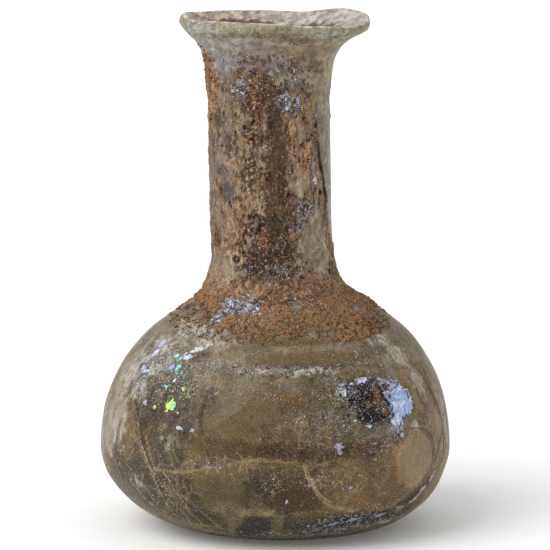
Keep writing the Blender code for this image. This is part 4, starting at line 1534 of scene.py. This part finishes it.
class FLASK_OT_threads(Operator):
    """Lays thin pale threads, dark cracks and the edges of facets over the film"""
    bl_idname = "flask.threads"
    bl_label = "Threads"

    curve_steps = 14
    # Tint, width and lift in millimetres, and points
    threads = (
        (
            tone(182, 168, 142), 0.36, 0.03,
            ((-140, 21.5), (-138, 19.5), (-135, 17), (-132, 13), (-131, 10), (-131, 6)),
        ),
        (
            tone(176, 162, 134), 0.32, 0.03,
            ((-134, 16), (-129, 15.5), (-126, 14), (-124, 11.5), (-122, 9), (-121, 7.5)),
        ),
        (
            tone(152, 136, 96), 0.30, 0.02,
            ((-136, 15.8), (-126, 15.9), (-117, 16.4), (-109, 17.6), (-103, 18.6)),
        ),
        (tone(150, 134, 90), 0.34, 0.02, ((-103, 18.6), (-95, 18.9), (-88, 18.8), (-82, 18.2))),
        (tone(146, 136, 104), 0.30, 0.02, ((-121, 14.8), (-118, 14.9), (-115, 15.6), (-112, 15.4))),
        (tone(178, 164, 146), 0.32, 0.03, ((-146, 12), (-143, 10.5), (-141, 8), (-136, 8.2), (-131, 11.5))),
        (tone(152, 138, 112), 0.32, 0.03, ((-128, 23), (-125, 21.4), (-124, 19.4), (-122, 17.8))),
        (tone(104, 106, 78), 0.36, 0.02, ((-103, 8.4), (-106, 5.4), (-109, 3.7))),
        (tone(112, 112, 82), 0.36, 0.02, ((-92, 8.6), (-92.6, 6), (-93, 2.7))),
        (tone(122, 112, 78), 0.30, 0.02, ((-100, 14.3), (-99.6, 11.5), (-102, 8.6))),
        (tone(86, 66, 34), 0.90, 0.01, ((-115, 30.6), (-116, 28), (-115.4, 25), (-114, 23.4))),
        (tone(128, 98, 58), 0.34, 0.01, ((-106, 24.2), (-99, 23.9), (-90, 23.6), (-82, 22.8))),
        (tone(52, 42, 36), 0.36, 0.02, ((-147, 27.8), (-142, 25), (-139, 22), (-137, 20))),
        (tone(160, 120, 70), 0.42, 0.02, ((-47, 21.6), (-49, 19), (-48, 16.5), (-45, 14.2), (-39, 12.2))),
        (tone(96, 76, 48), 0.34, 0.02, ((-45, 22.8), (-39, 22.9), (-31, 21.8), (-27, 19.3), (-27, 16.5))),
        (tone(186, 162, 110), 0.40, 0.02, ((-81, 18.2), (-80, 15.8), (-77, 13.3), (-74, 11.6), (-69, 9.6))),
        (tone(160, 136, 84), 0.32, 0.02, ((-81, 17.7), (-75, 18.3), (-70, 19), (-66, 19.1))),
        (tone(150, 124, 74), 0.30, 0.02, ((-86, 26.8), (-84, 25), (-81.5, 22.8))),
        (tone(170, 160, 146), 0.80, 0.01, ((-28, 36.5), (-30, 34.8), (-27, 32.4), (-30, 30), (-29, 26.6))),
        (tone(186, 178, 164), 0.36, 0.02, ((-30, 25), (-28, 23), (-29, 21.4))),
        (tone(106, 86, 50), 0.60, 0.01, ((-19, 20.2), (-23, 17.4), (-27, 15))),
        (tone(156, 138, 104), 0.32, 0.02, ((-59, 15.6), (-54, 12.2), (-50, 10.8), (-44, 9.6))),
        (tone(98, 82, 56), 0.60, 0.01, ((-24, 33), (-20, 27), (-17, 20), (-19, 14))),
        (tone(170, 158, 136), 0.50, 0.01, ((-21, 31), (-16, 24), (-14, 16))),
        (tone(176, 168, 156), 0.60, 0.01, ((-156, 31), (-160, 25), (-157, 18))),
        (tone(88, 74, 58), 0.60, 0.01, ((-152, 24), (-154, 18), (-150, 12))),
        (tone(168, 158, 142), 0.50, 0.01, ((-164, 28), (-168, 20), (-164, 12))),
        (tone(26, 18, 12), 0.46, 0.30, ((-40, 76.8), (-37, 74.6), (-35.4, 72.3), (-31, 69.8))),
        (tone(30, 20, 14), 0.40, 0.26, ((-30, 69.2), (-27.6, 66.8), (-23, 64.4))),
        (tone(150, 134, 100), 0.34, 0.02, ((60, 24), (72, 21), (86, 23), (100, 18), (118, 20))),
        (tone(140, 124, 92), 0.30, 0.02, ((96, 34), (104, 27), (101, 20), (110, 12))),
        (tone(84, 68, 44), 0.50, 0.01, ((128, 30), (138, 24), (134, 16))),
        (tone(156, 142, 112), 0.30, 0.02, ((30, 26), (36, 20), (46, 16), (52, 9))),
    )

    def execute(self, context):
        wall = form()
        skin = Skin(flat=True)
        tints = skin.shape.verts.layers.float_color.new("tint")
        for index, (tint, width, lift, points) in enumerate(self.threads):
            curve = curve_through(points, self.curve_steps)
            way = np.array([(math.radians(az), wall.outside(height * MM)) for az, height in curve])
            radius = wall.at(wall.radius, way[:, 1])
            slope = np.gradient(way, axis=0) * np.stack([radius, np.ones(len(way))], axis=1)
            slope /= np.linalg.norm(slope, axis=1)[:, None]
            made = bmesh.ops.create_grid(skin.shape, x_segments=len(way) - 1, y_segments=1, size=0.5)
            for vert in made["verts"]:
                step = round((vert.co.x + 0.5) * (len(way) - 1))
                taper = math.sin(math.pi * (step + 0.5) / len(way)) ** 0.4
                uneven = 0.75 + 0.5 * noise.noise((step * 0.4, index * 7.3, 2.0 * vert.co.y))
                half = math.copysign(0.5 * width * MM * taper * uneven, vert.co.y)
                across = -slope[step][1] * half / radius[step]
                vert.co = ((way[step][0] + across) * FLAT_RADIUS, way[step][1] + slope[step][0] * half, 0.0)
                vert[skin.side_layer] = 1.0
                vert[skin.cover_layer] = lift
                vert[tints] = (*tint, 1.0)
        skin.thicken()
        skin.read()
        skin.settle_by_cover()
        piece = skin.finish("threads", film_threads())
        return {"FINISHED"}


class Scatter:
    """Scatters small chips in ovals on the skin, thicker where a noise is high.

    A cluster is a palette, a count, the smallest and largest radius, a lift and an oval.
    """

    def scatter(self, name, material, clusters, seed):
        chance = np.random.default_rng(seed)
        chips = [self.cluster(chance, index, *cluster) for index, cluster in enumerate(clusters)]
        azimuth, along, size, lift, tint = (np.concatenate(column) for column in zip(*chips))
        skin = Skin(flat=True)
        tints = skin.shape.verts.layers.float_color.new("tint")
        bmesh.ops.create_grid(skin.shape, x_segments=len(size), y_segments=1, size=0.5)
        bmesh.ops.split_edges(skin.shape, edges=skin.shape.edges[:])
        corners = chance.integers(0, 3, len(skin.shape.faces))
        halved = [edge for face, count in zip(skin.shape.faces, corners) for edge in face.edges[:count]]
        bmesh.ops.bisect_edges(skin.shape, edges=halved, cuts=1)
        scale = FLAT_RADIUS / form().at(form().radius, along)
        for index, face in enumerate(skin.shape.faces):
            index = min(index, len(size) - 1)
            turn = chance.uniform(0.0, math.pi)
            squash = chance.uniform(0.4, 1.0)
            for corner, vert in enumerate(face.verts):
                angle = FULL_TURN * corner / len(face.verts)
                reach = size[index] * chance.uniform(0.6, 1.25) * MM
                u = math.cos(angle) * reach
                v = math.sin(angle) * reach * squash
                across = (u * math.cos(turn) - v * math.sin(turn)) * scale[index]
                up = u * math.sin(turn) + v * math.cos(turn)
                vert.co = (azimuth[index] * FLAT_RADIUS + across, along[index] + up, 0.0)
                vert[skin.side_layer] = 1.0
                vert[skin.cover_layer] = lift[index]
                vert[tints] = (*tint[index], 1.0)
        skin.thicken()
        skin.read()
        skin.settle_by_cover()
        return skin.finish(name, material)

    @staticmethod
    def cluster(chance, index, palette, count, small, large, lift, spot):
        """Places, sizes, lifts and tints of the chips of one cluster."""
        wall = form()
        azimuth, height, width, tall, turn = (*spot, 0.0)[:5]
        tries = count * 3
        reach = chance.random(tries) ** 0.6
        angle = chance.uniform(0.0, FULL_TURN, tries)
        u = np.cos(angle) * reach * width / 2.0
        v = np.sin(angle) * reach * tall / 2.0
        lean = math.radians(turn)
        middle = wall.outside(height * MM)
        along = middle + (u * math.sin(lean) + v * math.cos(lean)) * MM
        across = (u * math.cos(lean) - v * math.sin(lean)) * MM / wall.at(wall.radius, middle)
        around = math.radians(azimuth) + across
        places = wall.place(around, along, np.zeros(tries)) / MM
        order = np.argsort(-noise_at(places, 1.3, index, 2) - chance.uniform(0.0, 0.5, tries))[:count]
        size = small * (large / small) ** (chance.random(count) ** 1.8)
        tint = np.array(palette)[chance.integers(0, len(palette), count)]
        return around[order], along[order], size, lift + chance.uniform(0.0, 0.06, count), tint


class FLASK_OT_specks(Operator, Scatter):
    """Scatters small chips of scale and grit over the glass"""
    bl_idname = "flask.specks"
    bl_label = "Specks"

    clusters = (
        (FROST, 520, 0.06, 0.20, 0.02, (-71, 27.0, 20, 9)),
        (NIGHT, 340, 0.06, 0.24, 0.01, (-70, 28, 22, 9)),
        (FROST, 240, 0.06, 0.20, 0.02, (-84, 35.2, 34, 2.6)),
        (NIGHT, 240, 0.06, 0.24, 0.01, (-84, 35.2, 34, 3)),
        (FROST, 100, 0.06, 0.20, 0.02, (-67, 32.6, 8, 3, -30)),
        (FROST, 260, 0.06, 0.24, 0.03, (-54, 30, 15, 10)),
        (NIGHT, 220, 0.08, 0.30, 0.03, (-54, 30, 14, 10)),
        (FROST, 140, 0.06, 0.20, 0.02, (-53, 21, 12, 5, 35)),
        (FROST, 240, 0.06, 0.22, 0.02, (-130, 31, 20, 9)),
        (NIGHT, 300, 0.06, 0.24, 0.01, (-129, 30, 20, 9)),
        (SEA, 150, 0.06, 0.30, 0.04, (-132, 34.5, 8, 7, 40)),
        (LIME, 80, 0.06, 0.22, 0.04, (-129, 29.5, 13, 6)),
        (SEA, 80, 0.05, 0.18, 0.03, (-121, 34.5, 10, 5, 20)),
        (FROST, 260, 0.07, 0.34, 0.03, (-145, 34.0, 13, 8, 40)),
        (BLUE, 700, 0.06, 0.26, 0.12, (-115, 45.4, 10, 5.8)),
        (BLUE, 60, 0.08, 0.36, 0.10, (-129, 43.2, 3, 2.4)),
        (FROST, 300, 0.07, 0.26, 0.10, (-112, 44.5, 13, 7)),
        (NIGHT, 240, 0.07, 0.26, 0.10, (-113, 45, 11, 6)),
        (BLUE, 60, 0.06, 0.20, 0.26, (-78, 46, 16, 6)), (FROST, 60, 0.06, 0.22, 0.26, (-76, 47, 14, 6)),
        (FROST, 300, 0.07, 0.28, 0.20, (-117, 89.5, 9, 10)),
        (BLUE, 60, 0.07, 0.26, 0.24, (-118, 87.5, 5, 3)),
        (FROST, 380, 0.07, 0.30, 0.22, (-72, 87.5, 10, 10)),
        (BLUE, 120, 0.08, 0.30, 0.26, (-70, 84.5, 5, 4)),
        (NIGHT, 240, 0.07, 0.30, 0.22, (-75, 87, 11, 10)),
        (NIGHT, 260, 0.07, 0.30, 0.24, (-103, 88, 7, 11)),
        (FROST, 260, 0.06, 0.22, 0.26, (-82, 53.5, 15, 8)), (BLUE, 30, 0.06, 0.2, 0.26, (-84, 53, 12, 7)),
        (NIGHT, 200, 0.07, 0.30, 0.24, (-88, 56, 9, 12)), (FROST, 120, 0.05, 0.16, 0.08, (-50, 57, 10, 12)),
        (FROST, 260, 0.06, 0.22, 0.03, (-135, 96.5, 18, 4)),
        (FROST, 140, 0.06, 0.20, 0.03, (-95, 96.5, 20, 3)),
        (FROST, 120, 0.06, 0.20, 0.03, (-52, 96.5, 20, 4)),
        (FROST, 140, 0.06, 0.20, 0.10, (-110, 93, 22, 6)),
        (SLATE, 480, 0.08, 0.44, 0.03, (-58, 5.2, 27, 6.0, 8)),
        (FROST, 120, 0.07, 0.24, 0.02, (-86, 3.6, 20, 3.0)),
        (NIGHT, 240, 0.08, 0.36, 0.01, (-62, 5.0, 30, 6.0, 8)),
        (FROST, 90, 0.07, 0.26, 0.03, (-60, 7.4, 20, 3.0, 10)),
        (FROST, 110, 0.06, 0.20, 0.02, (-72, 14.5, 16, 7)),
        (FROST, 110, 0.06, 0.18, 0.02, (-96, 31, 18, 5)),
        (FROST, 160, 0.06, 0.20, 0.02, (-52, 38, 20, 6)), (FROST, 120, 0.08, 0.30, 0.02, (100, 30, 60, 20)),
        (FROST, 120, 0.06, 0.20, 0.02, (-112, 17.9, 12, 1.4)),
        (NIGHT, 80, 0.06, 0.22, 0.01, (-100, 25, 26, 8)),
        (FROST, 120, 0.06, 0.24, 0.02, (-134, 14, 16, 10)),
        (NIGHT, 100, 0.06, 0.26, 0.01, (-96, 14.5, 8, 5)),
        (FROST, 260, 0.07, 0.24, 0.03, (-127, 41.6, 15, 3.6, 14)),
        (FROST, 200, 0.06, 0.20, 0.26, (-57, 29, 12, 9)),
        (BLUE, 90, 0.07, 0.30, 0.08, (-65, 31, 5, 4)), (WHITE, 60, 0.07, 0.26, 0.10, (-65.4, 31, 3.4, 2.6)),
        (NIGHT, 90, 0.07, 0.26, 0.10, (-49.5, 29.5, 4, 8)),
        (BLUE, 140, 0.07, 0.30, 0.10, (-46.5, 31.8, 8, 2.6)),
        (BLUE, 90, 0.07, 0.30, 0.06, (-46, 23.0, 4, 4.6)),
        (WHITE, 220, 0.05, 0.18, 0.12, (-142, 98.2, 11, 3.6)),
        (NIGHT, 60, 0.05, 0.16, 0.12, (-90, 98.2, 34, 3)),
        (WHITE, 60, 0.05, 0.16, 0.12, (-104, 98.2, 10, 3.0)),
        (WHITE, 110, 0.05, 0.18, 0.12, (-48, 98.2, 12, 3.2)),
    )

    def execute(self, context):
        piece = self.scatter("specks", scale_flakes(), self.clusters, 11)
        return {"FINISHED"}


class FLASK_OT_sand_grains(Operator, Scatter):
    """Scatters loose grains of sand round the crust on the shoulder"""
    bl_idname = "flask.sand_grains"
    bl_label = "Sand grains"

    clusters = (
        (SAND, 1500, 0.08, 0.26, 0.06, (-92, 41.5, 56, 6.5)),
        (SAND, 600, 0.08, 0.26, 0.06, (-38, 42, 20, 7)),
        (SAND, 600, 0.08, 0.26, 0.06, (-138, 43.5, 24, 6)), (SAND, 300, 0.10, 0.30, 0.08, (90, 42, 80, 6)),
        (SAND, 700, 0.08, 0.26, 0.28, (-90, 48, 24, 6)), (SAND, 260, 0.08, 0.24, 0.30, (-103, 88, 8, 12)),
        (SAND, 240, 0.08, 0.24, 0.30, (-156, 86, 7, 20)), (SAND, 160, 0.08, 0.22, 0.28, (-88, 92, 20, 6)),
    )

    def execute(self, context):
        piece = self.scatter("sand_grains", sandy_soil(), self.clusters, 12)
        return {"FINISHED"}


class FLASK_OT_stage(Operator):
    """Sets the floor, the soft studio light and the camera"""
    bl_idname = "flask.stage"
    bl_label = "Stage"

    floor_radius = 6.0
    sun_place = Vector((-0.62, -0.42, 0.70))
    sun_width = math.radians(50.0)
    sun_strength = 2.05
    studio_strength = 0.69
    camera_place = Vector((0.0, -0.75, 0.1623))
    camera_aim = Vector((0.0, 0.0, 0.04937))
    camera_lens = 253.2

    def execute(self, context):
        scene = context.scene
        shape = bmesh.new()
        bmesh.ops.create_circle(shape, cap_ends=True, segments=64, radius=self.floor_radius)
        mesh = bpy.data.meshes.new("floor")
        shape.to_mesh(mesh)
        shape.free()
        mesh.materials.append(floor_paper())
        floor = bpy.data.objects.new("floor", mesh)
        scene.collection.objects.link(floor)
        self.add_sun()
        world = bpy.data.worlds.new("studio")
        world.use_nodes = True
        background = world.node_tree.nodes["Background"]
        background.inputs["Color"].default_value = (1.0, 1.0, 1.0, 1.0)
        background.inputs["Strength"].default_value = self.studio_strength
        scene.world = world
        camera = bpy.data.cameras.new("camera")
        camera.lens = self.camera_lens
        camera.clip_start = 0.01
        view = bpy.data.objects.new("camera", camera)
        view.location = self.camera_place
        view.rotation_euler = (self.camera_aim - self.camera_place).to_track_quat("-Z", "Y").to_euler()
        scene.collection.objects.link(view)
        scene.camera = view
        scene.view_settings.view_transform = "Standard"
        return {"FINISHED"}

    def add_sun(self):
        """Adds a broad, soft light from the upper left."""
        light = bpy.data.lights.new("softbox", "SUN")
        light.angle = self.sun_width
        light.energy = self.sun_strength
        lamp = bpy.data.objects.new("softbox", light)
        lamp.location = self.sun_place
        lamp.rotation_euler = (-self.sun_place).to_track_quat("-Z", "Y").to_euler()
        bpy.context.scene.collection.objects.link(lamp)


STEPS = (
    FLASK_OT_glass_wall,
    FLASK_OT_inner_film,
    FLASK_OT_neck_lining,
    FLASK_OT_body_patina,
    FLASK_OT_neck_crust,
    FLASK_OT_rim_patina,
    FLASK_OT_shoulder_soil,
    FLASK_OT_iron_crust,
    FLASK_OT_flakes,
    FLASK_OT_threads,
    FLASK_OT_specks,
    FLASK_OT_sand_grains,
    FLASK_OT_stage,
)


class FLASK_PT_panel(Panel):
    """Lists the steps that build the flask"""
    bl_idname = "FLASK_PT_panel"
    bl_label = "Glass flask"
    bl_space_type = "VIEW_3D"
    bl_region_type = "UI"
    bl_category = "Flask"

    def draw(self, context):
        for group in (context.scene.flask_sizes, context.scene.flask_colours):
            for name in group.__annotations__:
                self.layout.prop(group, name)
        for step in STEPS:
            self.layout.operator(step.bl_idname)


CLASSES = (FlaskSizes, FlaskColours, *STEPS, FLASK_PT_panel)


def register():
    for item in CLASSES:
        bpy.utils.register_class(item)
    bpy.types.Scene.flask_sizes = PointerProperty(type=FlaskSizes)
    bpy.types.Scene.flask_colours = PointerProperty(type=FlaskColours)


def unregister():
    del bpy.types.Scene.flask_colours
    del bpy.types.Scene.flask_sizes
    for item in reversed(CLASSES):
        bpy.utils.unregister_class(item)


def main():
    register()
    for step in STEPS:
        group, name = step.bl_idname.split(".")
        getattr(getattr(bpy.ops, group), name)()


if __name__ == "__main__":
    main()
